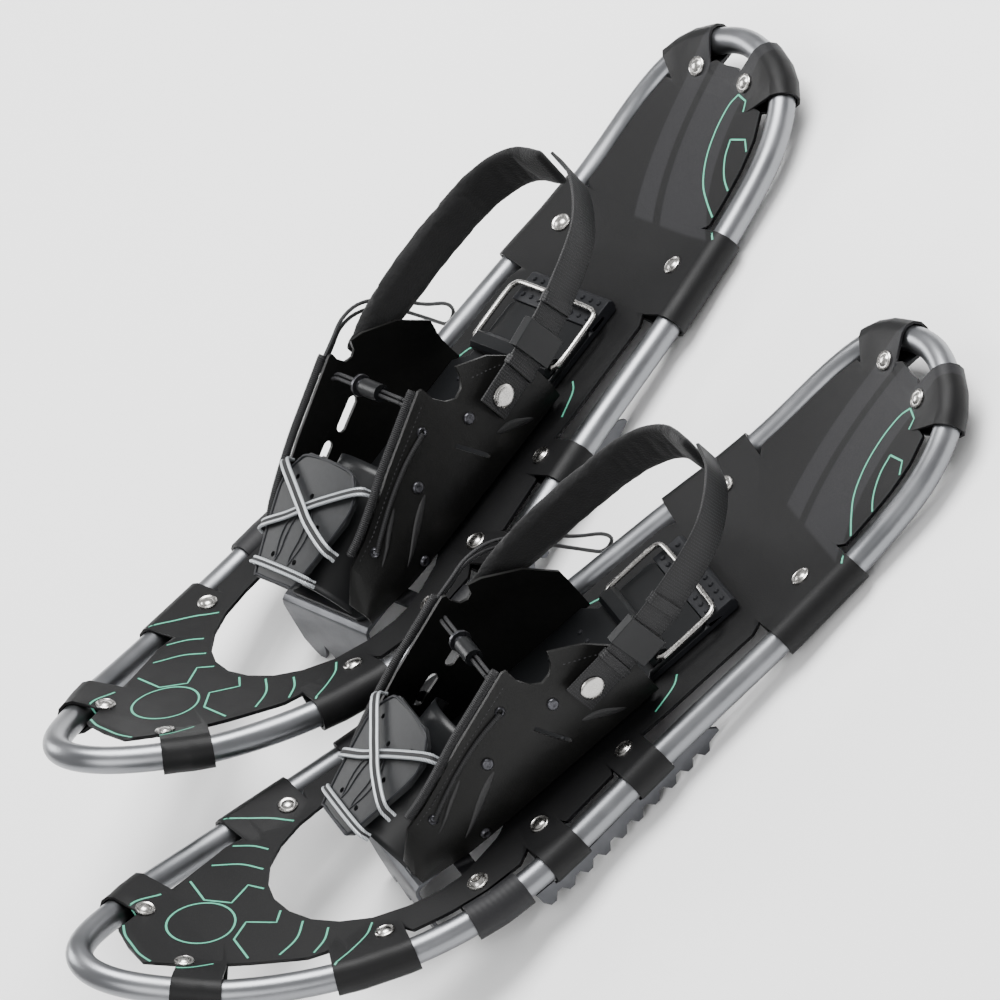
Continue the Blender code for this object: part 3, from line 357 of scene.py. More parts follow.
nose_ring = [(-0.002 + 0.0190 * math.cos(a), -0.2215 + 0.0165 * math.sin(a))
             for a in np.linspace(0, math.tau, 49)[:-1]]
mirrored_lines = [
    rounded([(0.0, -0.2565), (0.012, -0.2560), (0.027, -0.2510), (0.036, -0.2420), (0.038, -0.2290)]),
    straight([(0.0120, -0.1845), (0.0205, -0.1900), (0.0105, -0.2025), (0.0215, -0.2130), (0.0420, -0.2130)]),
    rounded([(0.0285, -0.1785), (0.0405, -0.1865), (0.0490, -0.1990)]),
    rounded([(0.0430, -0.1700), (0.0515, -0.1755), (0.0585, -0.1840)]),
    rounded([(0.0560, -0.1500), (0.0650, -0.1575), (0.0735, -0.1690), (0.0800, -0.1790)]),
    rounded([(0.0440, 0.0620), (0.0500, 0.0560), (0.0560, 0.0400)]),
]
one_side_lines = [
    rounded([(0.0700, 0.1690), (0.0600, 0.1790), (0.0440, 0.1890), (0.0318, 0.1985), (0.0222, 0.2131),
             (0.0174, 0.2297), (0.0173, 0.2443), (0.0206, 0.2520)]),
    straight([(0.0206, 0.2520), (0.0290, 0.2500), (0.0310, 0.2440)]),
    rounded([(0.0580, 0.1971), (0.0454, 0.2054), (0.0366, 0.2163), (0.0327, 0.2272)]),
    straight([(0.0327, 0.2272), (0.0440, 0.2300), (0.0500, 0.2240)]),
]
for shoe in SHOES:
    bm = bmesh.new()
    printed_line(bm, shoe, [Vector(p) for p in nose_ring], closed=True)
    for line in mirrored_lines:
        for side in (1, -1):
            printed_line(bm, shoe, [Vector((side * p.x, p.y)) for p in line])
    for line in one_side_lines:
        printed_line(bm, shoe, line)
    lines = new_piece(shoe + "printed_lines", bm, mint)
    put(lines, shoe, "snowshoe", "deck_sheet")


# ---------------------------------------------------------------- rivets
# Tubular rivets hold every tab of the deck: a spun nickel-plated cap, 11.5 mm across, with a
# rolled rim, a shallow groove and a low dome.
nickel, tree, shader = finish_named("nickel_plated_steel", "#c4c2be", 0.22, 1.0)
spot = node(tree, "ShaderNodeTexCoord").outputs["Object"]
scuffs = node(tree, "ShaderNodeTexNoise", {"Scale": 1 / 0.0015, "Detail": 5.0, "Distortion": 0.4},
              {"Vector": spot})
dull = node(tree, "ShaderNodeMapRange", {"From Min": 0.35, "From Max": 0.75, "To Min": 0.18, "To Max": 0.36},
            {"Value": scuffs.outputs["Fac"]})
tree.links.new(dull.outputs["Result"], shader.inputs["Roughness"])
two_tone(tree, shader, scuffs.outputs["Fac"], "#a09e9b", "#bdbbb8")
roughen(tree, shader, scuffs.outputs["Fac"], 0.000002)

CAP_PROFILE = [(0.0, 0.0022), (0.0016, 0.0021), (0.0030, 0.0016), (0.0037, 0.0010), (0.0042, 0.0010),
               (0.0050, 0.0014), (0.0056, 0.0010), (0.00575, 0.0004), (0.0057, 0.0)]
RIVETS = [(0.0286, -0.2401), (0.0695, -0.1475), (0.0641, -0.0469), (0.0635, 0.0141), (0.0522, 0.1475),
          (0.0220, 0.2585)]


def ring_of(radius, sides):
    """Points of a circle, anticlockwise from the right."""
    turns = [math.tau * k / sides for k in range(sides)]
    return [(radius * math.cos(a), radius * math.sin(a)) for a in turns]


def turned_cap(name, profile, sides, mat):
    """A round cap from (radius, height) points, centre first."""
    bm = bmesh.new()
    centre = bm.verts.new((0, 0, profile[0][1]))
    rings = []
    for r, z in profile[1:]:
        rings.append([bm.verts.new((x, y, z)) for x, y in ring_of(r, sides)])
    for k in range(sides):
        j = (k + 1) % sides
        bm.faces.new((centre, rings[0][k], rings[0][j]))
        for a, b in zip(rings, rings[1:]):
            bm.faces.new((a[k], b[k], b[j], a[j]))
    bm.faces.new([v for v in reversed(rings[-1])])
    return new_piece(name, bm, mat)


def scatter_tree(name):
    """Geometry nodes: stand a copy of an object on every point, along that point's lean."""
    tree = bpy.data.node_groups.new(name, "GeometryNodeTree")
    tree.interface.new_socket("Points", in_out="INPUT", socket_type="NodeSocketGeometry")
    tree.interface.new_socket("Piece", in_out="INPUT", socket_type="NodeSocketObject")
    tree.interface.new_socket("Finish", in_out="INPUT", socket_type="NodeSocketMaterial")
    tree.interface.new_socket("Made", in_out="OUTPUT", socket_type="NodeSocketGeometry")
    given = node(tree, "NodeGroupInput")
    lean = node(tree, "GeometryNodeInputNamedAttribute", {"Name": "lean"}, data_type="FLOAT_VECTOR")
    spin = node(tree, "GeometryNodeInputNamedAttribute", {"Name": "spin"}, data_type="FLOAT_VECTOR")
    stand = node(tree, "FunctionNodeAlignRotationToVector", None, {"Vector": lean.outputs["Attribute"]},
                 axis="Z")
    face = node(tree, "FunctionNodeAlignRotationToVector", None,
                {"Rotation": stand.outputs["Rotation"], "Vector": spin.outputs["Attribute"]}, axis="X",
                pivot_axis="Z")
    model = node(tree, "GeometryNodeObjectInfo", None, {"Object": given.outputs["Piece"]})
    copies = node(tree, "GeometryNodeInstanceOnPoints", None,
                  {"Points": given.outputs["Points"], "Instance": model.outputs["Geometry"],
                   "Rotation": face.outputs["Rotation"]})
    real = node(tree, "GeometryNodeRealizeInstances", None, {"Geometry": copies.outputs["Instances"]})
    painted = node(tree, "GeometryNodeSetMaterial", None,
                   {"Geometry": real.outputs["Geometry"], "Material": given.outputs["Finish"]})
    node(tree, "NodeGroupOutput", None, {"Made": painted.outputs["Geometry"]})
    return tree


scatter = scatter_tree("stand_on_points")


def scattered(name, spots, model, mat):
    """A plain mesh of copies of a model; spots are (place, lean, spin) in the world."""
    points = bpy.data.meshes.new(name + "_points")
    points.from_pydata([s[0] for s in spots], [], [])
    for label, index in (("lean", 1), ("spin", 2)):
        values = points.attributes.new(label, "FLOAT_VECTOR", "POINT")
        values.data.foreach_set("vector", [c for s in spots for c in s[index]])
    holder = bpy.data.objects.new(name + "_holder", points)
    bpy.context.scene.collection.objects.link(holder)
    mod = holder.modifiers.new("copies", "NODES")
    mod.node_group = scatter
    sockets = {item.name: item.identifier for item in scatter.interface.items_tree if item.in_out == "INPUT"}
    mod[sockets["Piece"]] = model
    mod[sockets["Finish"]] = mat
    bpy.context.view_layer.update()
    mesh = bpy.data.meshes.new_from_object(holder.evaluated_get(bpy.context.evaluated_depsgraph_get()))
    bpy.data.objects.remove(holder)
    piece = bpy.data.objects.new(name, mesh)
    bpy.context.scene.collection.objects.link(piece)
    return piece


cap = turned_cap("rivet_cap", CAP_PROFILE, 28, nickel)
for shoe in SHOES:
    along = place[shoe].to_3x3() @ Vector((0, 1, 0))
    spots = []
    for x, y in RIVETS:
        for side in (1, -1):
            seat, normal = on_deck(shoe, side * x, y)
            spots.append((seat, normal, along))
    rivets = scattered(shoe + "deck_rivets", spots, cap, nickel)
    put(rivets, shoe, "snowshoe", "plated_steel")
bpy.data.objects.remove(cap)


# ---------------------------------------------------------------- pivot strap and its bolts
# A strap of rubber-coated webbing runs across under the binding and round the tube at each
# side. A button-head bolt with a six-sided socket holds each end to the deck.
def wave_scale(pitch):
    """Scale of a wave pattern whose bands lie this far apart."""
    return math.tau / 20 / pitch


coated_strap, tree, shader = finish_named("rubber_coated_webbing", "#101012", 0.58, Specular_IOR_Level=0.30)
spot = node(tree, "ShaderNodeTexCoord").outputs["Object"]
threads = node(tree, "ShaderNodeTexWave", {"Scale": wave_scale(0.0032), "Distortion": 0.6, "Detail": 1.0},
               {"Vector": spot}, bands_direction="Y")
grit = node(tree, "ShaderNodeTexNoise", {"Scale": 1 / 0.0007, "Detail": 3.0}, {"Vector": spot})
relief = node(tree, "ShaderNodeMath", None, {0: threads.outputs["Fac"], 1: grit.outputs["Fac"]},
              operation="ADD")
roughen(tree, shader, relief.outputs["Value"], 0.00006)
two_tone(tree, shader, grit.outputs["Fac"], "#0d0d0f", "#17171a")

BOLT_PROFILE = [(0.0, 0.0014), (0.0018, 0.0014), (0.0019, 0.0030), (0.0030, 0.0032), (0.0044, 0.0022),
                (0.0049, 0.0009), (0.0052, 0.0008), (0.0062, 0.0008), (0.0063, 0.0)]
bolt = turned_cap("bolt_head", BOLT_PROFILE, 24, nickel)
for shoe in SHOES:
    strap = merged_copy(shoe + "pivot_strap", shoe + "toe_cord_strap", coated_strap, bevel=0.0003)
    put(strap, shoe, "snowshoe", "moulding", "pivot_strap")
    along = place[shoe].to_3x3() @ Vector((0, 1, 0))
    spots = []
    for side in (1, -1):
        seat, normal = on_deck(shoe, side * 0.0724, PIVOT_Y)
        spots.append((seat + normal * 0.0001, normal, along))
    bolts = scattered(shoe + "strap_bolts", spots, bolt, nickel)
    put(bolts, shoe, "snowshoe", "plated_steel", "outer_pivot_bolt", "inner_pivot_bolt")
bpy.data.objects.remove(bolt)


# ---------------------------------------------------------------- rails and claw
# Stamped from 2.4 mm hardened steel and zinc plated: the toothed rails under the tube and the
# four-toothed claw under the ball of the foot. The plating is a soft grey, the cut edges paler.
zinc, tree, shader = finish_named("zinc_plated_steel", "#67686b", 0.42, 0.9)
spot = node(tree, "ShaderNodeTexCoord").outputs["Object"]
grinding = node(tree, "ShaderNodeMapping", {"Scale": (1 / 0.0005, 1 / 0.0005, 1 / 0.012)}, {"Vector": spot})
marks = node(tree, "ShaderNodeTexNoise", {"Scale": 1.0, "Detail": 4.0},
             {"Vector": grinding.outputs["Vector"]})
cloud = node(tree, "ShaderNodeTexNoise", {"Scale": 1 / 0.014, "Detail": 4.0}, {"Vector": spot})
two_tone(tree, shader, cloud.outputs["Fac"], "#3f4043", "#5c5d60")
dull = node(tree, "ShaderNodeMapRange", {"To Min": 0.34, "To Max": 0.52}, {"Value": marks.outputs["Fac"]})
tree.links.new(dull.outputs["Result"], shader.inputs["Roughness"])
roughen(tree, shader, marks.outputs["Fac"], 0.00002)
for shoe in SHOES:
    for rail in ("outer_rail", "inner_rail"):
        steel = merged_copy(shoe + rail, shoe + rail + "_steel", zinc, bevel=0.0003)
        put(steel, shoe, "snowshoe", "crampon_steel", rail)
    claw = merged_copy(shoe + "toe_crampon", shoe + "toe_claw", zinc, bevel=0.0004)
    put(claw, shoe, "binding", "crampon_steel", "toe_crampon")


# ---------------------------------------------------------------- base plate and heel pad
# The plate under the boot is moulded nylon with a fine spark-eroded texture. The rubber heel
# pad carries rows of low studs.
nylon, tree, shader = finish_named("moulded_nylon", "#0c0d0e", 0.38, Specular_IOR_Level=0.25)
spot = node(tree, "ShaderNodeTexCoord").outputs["Object"]
erosion = node(tree, "ShaderNodeTexNoise", {"Scale": 1 / 0.0006, "Detail": 3.0}, {"Vector": spot})
shade = node(tree, "ShaderNodeTexNoise", {"Scale": 1 / 0.025, "Detail": 2.0}, {"Vector": spot})
roughen(tree, shader, erosion.outputs["Fac"], 0.00003)
two_tone(tree, shader, shade.outputs["Fac"], "#0b0c0d", "#131416")
pad_rubber, tree, shader = finish_named("black_rubber", "#101114", 0.55, Specular_IOR_Level=0.25)
spot = node(tree, "ShaderNodeTexCoord").outputs["Object"]
bloom = node(tree, "ShaderNodeTexNoise", {"Scale": 1 / 0.004, "Detail": 5.0}, {"Vector": spot})
roughen(tree, shader, bloom.outputs["Fac"], 0.00005)
two_tone(tree, shader, bloom.outputs["Fac"], "#101114", "#1a1b1f")

STUD_PROFILE = [(0.0, 0.0011), (0.0010, 0.0010), (0.0015, 0.0005), (0.0016, 0.0)]
stud = turned_cap("heel_stud", STUD_PROFILE, 10, pad_rubber)
HEEL_HALF = 0.036
for shoe in SHOES:
    plate = merged_copy(shoe + "footbed", shoe + "base_plate", nylon, bevel=0.0006)
    put(plate, shoe, "binding", "moulding", "footbed")
    clip = merged_copy(shoe + "lifter_clip", shoe + "lifter_block", nylon, bevel=0.0005)
    put(clip, shoe, "binding", "moulding", "lifter_clip")
    pad = merged_copy(shoe + "heel_pad", shoe + "heel_rubber", pad_rubber, bevel=0.0008)
    put(pad, shoe, "binding", "heel_rubber", "heel_pad")
    to_world = place[shoe]
    up_there = to_world.to_3x3() @ Vector((0, 0, 1))
    along = to_world.to_3x3() @ Vector((0, 1, 0))
    spots = []
    for row in range(3):
        for k in range(-4, 5):
            x = k * 0.0075 + (0.00375 if row % 2 else 0.0)
            if abs(x) < HEEL_HALF - 0.004:
                seat = to_world @ Vector((x, 0.0965 + row * 0.0055, BED_TOP + 0.0010))
                spots.append((seat, up_there, along))
    for k in range(-3, 4):
        for row in range(4):
            seat = to_world @ Vector((k * 0.010, -0.030 + row * 0.022, BED_TOP))
            spots.append((seat, up_there, along))
    studs = scattered(shoe + "grip_studs", spots, stud, pad_rubber)
    put(studs, shoe, "binding", "heel_rubber")
bpy.data.objects.remove(stud)


# ---------------------------------------------------------------- wings of the harness
# Two sheets of grained thermoplastic stand up beside the boot. The outer one has a curved slit,
# the inner one two long slots. Leaf-shaped pads are pressed out of both, and a row of stitches
# runs along their upper edges.
harness, tree, shader = finish_named("grained_thermoplastic", "#0c0c0c", 0.46, Specular_IOR_Level=0.22)
spot = node(tree, "ShaderNodeTexCoord").outputs["Object"]
# pebble grain about 1 mm across
pebbles = node(tree, "ShaderNodeTexVoronoi", {"Scale": 1 / 0.0010}, {"Vector": spot}, feature="SMOOTH_F1")
fine = node(tree, "ShaderNodeTexNoise", {"Scale": 1 / 0.0004, "Detail": 2.0}, {"Vector": spot})
relief = node(tree, "ShaderNodeMath", None, {0: pebbles.outputs["Distance"], 1: fine.outputs["Fac"]},
              operation="ADD")
roughen(tree, shader, relief.outputs["Value"], 0.00006)
shade = node(tree, "ShaderNodeTexNoise", {"Scale": 1 / 0.018, "Detail": 3.0}, {"Vector": spot})
two_tone(tree, shader, shade.outputs["Fac"], "#070707", "#0f0f0e")

pressed, tree, shader = finish_named("pressed_leather_grain", "#1c1c1d", 0.55, Specular_IOR_Level=0.40)
spot = node(tree, "ShaderNodeTexCoord").outputs["Object"]
creases = node(tree, "ShaderNodeTexVoronoi", {"Scale": 1 / 0.0016}, {"Vector": spot},
               feature="DISTANCE_TO_EDGE")
roughen(tree, shader, creases.outputs["Distance"], 0.00012)
two_tone(tree, shader, creases.outputs["Distance"], "#141415", "#262627")

thread, tree, shader = finish_named("polyester_thread", "#1e1e20", 0.70)
spot = node(tree, "ShaderNodeTexCoord").outputs["Object"]
fuzz = node(tree, "ShaderNodeTexNoise", {"Scale": 1 / 0.0003}, {"Vector": spot})
roughen(tree, shader, fuzz.outputs["Fac"], 0.00003)
two_tone(tree, shader, fuzz.outputs["Fac"], "#161618", "#2a2a2d")

dark_steel, tree, shader = finish_named("blackened_steel", "#3a3a3c", 0.34, 0.9)
spot = node(tree, "ShaderNodeTexCoord").outputs["Object"]
wear = node(tree, "ShaderNodeTexNoise", {"Scale": 1 / 0.002, "Detail": 4.0}, {"Vector": spot})
two_tone(tree, shader, wear.outputs["Fac"], "#2c2c2e", "#55555a")
roughen(tree, shader, wear.outputs["Fac"], 0.00001)

WING_STEPS = (-0.024, -0.010, 0.040, 0.085, 0.108, 0.128, 0.142)
WING_TOPS = (0.026, 0.044, 0.068, 0.086, 0.078, 0.064, 0.046)


def wing_top(y):
    """Height of a wing's upper edge."""
    return float(np.interp(y - PIVOT_Y, WING_STEPS, WING_TOPS))


def wing_side(y, part):
    """How far out a wing stands at a distance along and a part of its height."""
    toe = max(0.0, min(1.0, (PIVOT_Y + 0.010 - y) / 0.034))
    return WING_IN + 0.0042 * math.sin(math.pi * min(1.0, part * 1.15)) - 0.0080 * toe - 0.0050 * part ** 2


def on_wing(shoe, side, back, part, out=0.0):
    """A point over a wing's outer face, in the world; back is the distance behind the pivot."""
    y = PIVOT_Y + back
    x = side * (wing_side(y, part) + WING_T + out)
    return place[shoe] @ Vector((x, y, WING_FOOT + part * (wing_top(y) - WING_FOOT)))


def wing_facing(shoe, side, back, part):
    """The way a wing's outer face looks at a point."""
    along = on_wing(shoe, side, back + 0.002, part) - on_wing(shoe, side, back - 0.002, part)
    rise = on_wing(shoe, side, back, part + 0.02) - on_wing(shoe, side, back, part - 0.02)
    return (along.cross(rise) * side).normalized(), along.normalized()


def pressed_leaf(name, shoe, side, start, end, width, mat, lift=0.0009):
    """A leaf-shaped pad that stands out of a wing between two places."""
    bm = bmesh.new()
    rows = []
    for i in range(15):
        t = i / 14
        back = start[0] + (end[0] - start[0]) * t
        part = start[1] + (end[1] - start[1]) * t + 0.03 * math.sin(math.pi * t)
        half = width * math.sin(math.pi * (0.02 + 0.96 * t)) ** 0.7
        row = []
        for k in range(9):
            across = -1 + k / 4
            tall = lift * (1 - across ** 4) * min(1.0, 6 * t, 6 * (1 - t)) - 0.0002
            spot = on_wing(shoe, side, back + across * half * 0.35, part + across * half / 0.07, tall)
            row.append(bm.verts.new(spot))
        rows.append(row)
    for a, b in zip(rows, rows[1:]):
        for k in range(8):
            bm.faces.new((a[k], a[k + 1], b[k + 1], b[k]))
    bmesh.ops.recalc_face_normals(bm, faces=bm.faces)
    middle = rows[7][4]
    facing = wing_facing(shoe, side, (start[0] + end[0]) / 2, (start[1] + end[1]) / 2)[0]
    middle.normal_update()
    if middle.normal.dot(facing) < 0:
        bmesh.ops.reverse_faces(bm, faces=bm.faces)
    return new_piece(name, bm, mat, None)


# each side's notch, as places behind the pivot and heights
NOTCH = {1: ((0.0865, 0.100), (0.0880, 0.0765), (0.0920, 0.0690), (0.0975, 0.0650), (0.1035, 0.0660),
             (0.1080, 0.0700), (0.1105, 0.0760), (0.1150, 0.0768), (0.1220, 0.0720), (0.1300, 0.0640),
             (0.160, 0.0640), (0.160, 0.100)),
         -1: ((0.0865, 0.100), (0.0875, 0.0800), (0.0905, 0.0730), (0.0950, 0.0715), (0.0985, 0.0740),
              (0.1000, 0.0800), (0.1010, 0.100))}


def notched(sheet, shoe, side):
    """Cut the notch between the hem and the strap's lobe out of a wing's upper edge."""
    bm = bmesh.new()
    ends = []
    for x in (0.028, 0.062):
        outline = [place[shoe] @ Vector((side * x, PIVOT_Y + back, z)) for back, z in NOTCH[side]]
        ends.append([bm.verts.new(corner) for corner in outline])
    bm.faces.new(ends[0])
    bm.faces.new(list(reversed(ends[1])))
    for k in range(len(ends[0])):
        j = (k + 1) % len(ends[0])
        bm.faces.new((ends[0][j], ends[0][k], ends[1][k], ends[1][j]))
    bmesh.ops.recalc_face_normals(bm, faces=bm.faces)
    cutter = new_piece("notch", bm, harness, None)
    cut = sheet.modifiers.new("notch", "BOOLEAN")
    cut.object = cutter
    cut.solver = "EXACT"
    rounding = sheet.modifiers.new("rounded_edges", "BEVEL")
    rounding.width = 0.0005
    rounding.segments = 2
    rounding.limit_method = "ANGLE"
    rounding.angle_limit = math.radians(50)
    bpy.context.view_layer.update()
    made = bpy.data.meshes.new_from_object(sheet.evaluated_get(bpy.context.evaluated_depsgraph_get()))
    sheet.modifiers.clear()
    sheet.data = made
    bpy.data.objects.remove(cutter)


bm = bmesh.new()
bmesh.ops.create_uvsphere(bm, u_segments=6, v_segments=4, radius=0.0004)
bmesh.ops.scale(bm, vec=(2.6, 1.0, 1.0), verts=bm.verts)
stitch = new_piece("stitch", bm, thread, None)
SCREW_PROFILE = [(0.0, 0.0009), (0.0007, 0.0009), (0.0020, 0.0015), (0.0028, 0.0013), (0.0034, 0.0006),
                 (0.0035, 0.0)]
screw = turned_cap("screw_head", SCREW_PROFILE, 16, dark_steel)
EYELET_PROFILE = [(0.0, 0.0002), (0.0012, 0.0002), (0.0014, 0.0012), (0.0022, 0.0017), (0.0030, 0.0010),
                  (0.0032, 0.0)]
eyelet = turned_cap("eyelet", EYELET_PROFILE, 16, dark_steel)
for shoe in SHOES:
    for side, wing in ((1, "outer_wing"), (-1, "inner_wing")):
        sheet = merged_copy(shoe + wing, shoe + wing + "_sheet", harness, sharp=math.radians(50))
        notched(sheet, shoe, side)
        even = sheet.modifiers.new("even_shading", "WEIGHTED_NORMAL")
        even.keep_sharp = True
        put(sheet, shoe, "binding", "harness_sheet", wing)
        stitches = []
        for start, end, part in ((-0.004, 0.082, 0.93), (0.113, 0.134, 0.84)):
            count = round((end - start) / 0.0026)
            for k in range(count):
                back = start + (end - start) * k / count
                facing, along = wing_facing(shoe, side, back, part)
                ahead = on_wing(shoe, side, back + 0.001, part)
                behind = on_wing(shoe, side, back - 0.001, part)
                slope = (ahead - behind).normalized()
                stitches.append((on_wing(shoe, side, back, part, 0.0001), facing, slope))
        seam = scattered(shoe + wing + "_stitches", stitches, stitch, thread)
        put(seam, shoe, "binding", "harness_sheet")
        for k, (start, end, width) in enumerate((((0.010, 0.30), (0.046, 0.56), 0.0042),
                                                 ((0.100, 0.30), (0.122, 0.10), 0.0032),
                                                 ((0.000, 0.62), (0.030, 0.80), 0.0026))):
            leaf = pressed_leaf(shoe + wing + "_pad_" + str(k), shoe, side, start, end, width, pressed)
            put(leaf, shoe, "binding", "harness_sheet")
    spots = []
    for side, places in ((1, ((0.046, 0.66), (0.094, 0.58))),
                         (-1, ((0.040, 0.45), (0.100, 0.45)))):
        for back, part in places:
            facing, along = wing_facing(shoe, side, back, part)
            spots.append((on_wing(shoe, side, back, part), facing, along))
    screws = scattered(shoe + "wing_screws", spots, screw, dark_steel)
    put(screws, shoe, "binding", "plated_steel")
    spots = []
    for side, places in ((1, ((0.004, 0.80), (0.070, 0.84), (0.020, 0.12))),
                         (-1, ((0.004, 0.80), (0.078, 0.90)))):
        for back, part in places:
            facing, along = wing_facing(shoe, side, back, part)
            spots.append((on_wing(shoe, side, back, part), facing, along))
    eyelets = scattered(shoe + "wing_eyelets", spots, eyelet, dark_steel)
    put(eyelets, shoe, "binding", "plated_steel")
for model in (stitch, screw, eyelet):
    bpy.data.objects.remove(model)


# ---------------------------------------------------------------- hems, laces and eyelet cord
# Ribbed piping is welded over the front edge of each wing and the laces run out of it. The
# laces are flat: a black centre between two round edges, and those edges are painted pale grey as
# painted highlights. They cross over the toe plate.
def swept(name, path, section, mats, upward, finish_of=None):
    """Carry a closed outline of (side, rise) points along a path, with a UV map in metres."""
    bm = bmesh.new()
    uv = bm.loops.layers.uv.new("run")
    m = len(section)
    girth = [0.0]
    for k in range(m):
        girth.append(girth[-1] + math.dist(section[k], section[(k + 1) % m]))
    run = 0.0
    rows = []
    runs = []
    for i, spot in enumerate(path):
        ahead = path[min(i + 1, len(path) - 1)]
        behind = path[max(i - 1, 0)]
        along = (ahead - behind).normalized()
        sideways = along.cross(upward).normalized()
        rise = sideways.cross(along)
        rows.append([bm.verts.new(spot + sideways * s + rise * u) for s, u in section])
        if i:
            run += (spot - path[i - 1]).length
        runs.append(run)
    for i in range(len(path) - 1):
        for k in range(m):
            j = (k + 1) % m
            face = bm.faces.new((rows[i][k], rows[i][j], rows[i + 1][j], rows[i + 1][k]))
            for loop, uv_spot in zip(face.loops, ((girth[k], runs[i]), (girth[k + 1], runs[i]),
                                                  (girth[k + 1], runs[i + 1]), (girth[k], runs[i + 1]))):
                loop[uv].uv = uv_spot
            if finish_of:
                face.material_index = finish_of[k]
    bm.faces.new(list(reversed(rows[0])))
    bm.faces.new(rows[-1])
    bmesh.ops.recalc_face_normals(bm, faces=bm.faces)
    piece = new_piece(name, bm, mats[0])
    for mat in mats[1:]:
        piece.data.materials.append(mat)
    return piece


piping, tree, shader = finish_named("ribbed_piping", "#131314", 0.62, Specular_IOR_Level=0.35)
spot = node(tree, "ShaderNodeTexCoord").outputs["Object"]
fuzz = node(tree, "ShaderNodeTexNoise", {"Scale": 1 / 0.0004, "Detail": 3.0}, {"Vector": spot})
roughen(tree, shader, fuzz.outputs["Fac"], 0.00003)
two_tone(tree, shader, fuzz.outputs["Fac"], "#0d0d0e", "#1e1e20")

lace_black, tree, shader = finish_named("woven_polyester_lace", "#121213", 0.66, Specular_IOR_Level=0.35)
run = node(tree, "ShaderNodeUVMap", uv_map="run").outputs["UV"]
# picks about 0.9 mm apart along the lace
picks = node(tree, "ShaderNodeTexWave", {"Scale": wave_scale(0.0012), "Distortion": 0.3}, {"Vector": run},
             bands_direction="Y")
roughen(tree, shader, picks.outputs["Fac"], 0.00010)
two_tone(tree, shader, picks.outputs["Fac"], "#0b0b0c", "#1d1d1f")

# painted highlight: this pale grey goes on the lace's two round edges, where light catches them
lace_painted_highlight, tree, shader = finish_named("lace_edge_painted_highlight", "#a9adb0", 0.38, 0.35)
run = node(tree, "ShaderNodeUVMap", uv_map="run").outputs["UV"]
twist = node(tree, "ShaderNodeTexWave", {"Scale": 2 * wave_scale(0.0016), "Distortion": 0.2}, {"Vector": run},
             bands_direction="DIAGONAL")
roughen(tree, shader, twist.outputs["Fac"], 0.00008)
two_tone(tree, shader, twist.outputs["Fac"], "#7b7f83", "#b4b8bb")

PLATE_LOW = Vector((0, PIVOT_Y - 0.038, 0.0470))
PLATE_HIGH = Vector((0, PIVOT_Y + 0.034, 0.0680))


def on_plate(x, along, lift=0.0):
    """A point over the toe plate, in the shoe's own frame."""
    seat = PLATE_LOW.lerp(PLATE_HIGH, along)
    arch = 0.0030 * (1 - (x / 0.033) ** 2)
    return Vector((x, seat.y - lift * 0.28, seat.z + arch + lift * 0.96))


def lace_outline(width):
    """Outline of a lace: two round edges with a thinner band between them."""
    edge = 0.0010
    half = width / 2 - edge
    turns = np.radians((-140, -90, -45, 0, 45, 90, 140))
    right_edge = [(half + edge * math.cos(a), edge * math.sin(a)) for a in turns]
    left_edge = [(-x, -y) for x, y in right_edge]
    # the round edges take the second finish, the pale painted highlight
    return right_edge + left_edge, [1] * 6 + [0] + [1] * 6 + [0]


LACE_OVER = 0.0026 + 0.0018
LACE_ENDS = [(-0.0355, 0.36, -0.0065), (-0.0305, 0.39, 0.0), (-0.012, 0.50, 0.0), (0.0, 0.60, 0.0),
             (0.012, 0.70, 0.0), (0.033, 0.87, 0.0), (0.0375, 0.90, -0.0065)]
TOE_ENDS = [(-0.0275, 0.115, -0.0060), (-0.0245, 0.115, -0.001), (-0.012, 0.115, 0), (0.012, 0.115, 0),
            (0.0245, 0.115, -0.001), (0.0275, 0.115, -0.0060)]
HEM_BACKS = (-0.006, 0.005, 0.022, 0.040, 0.062, 0.083)
HEM_R = 0.0027
RIB_STEP = 0.0011

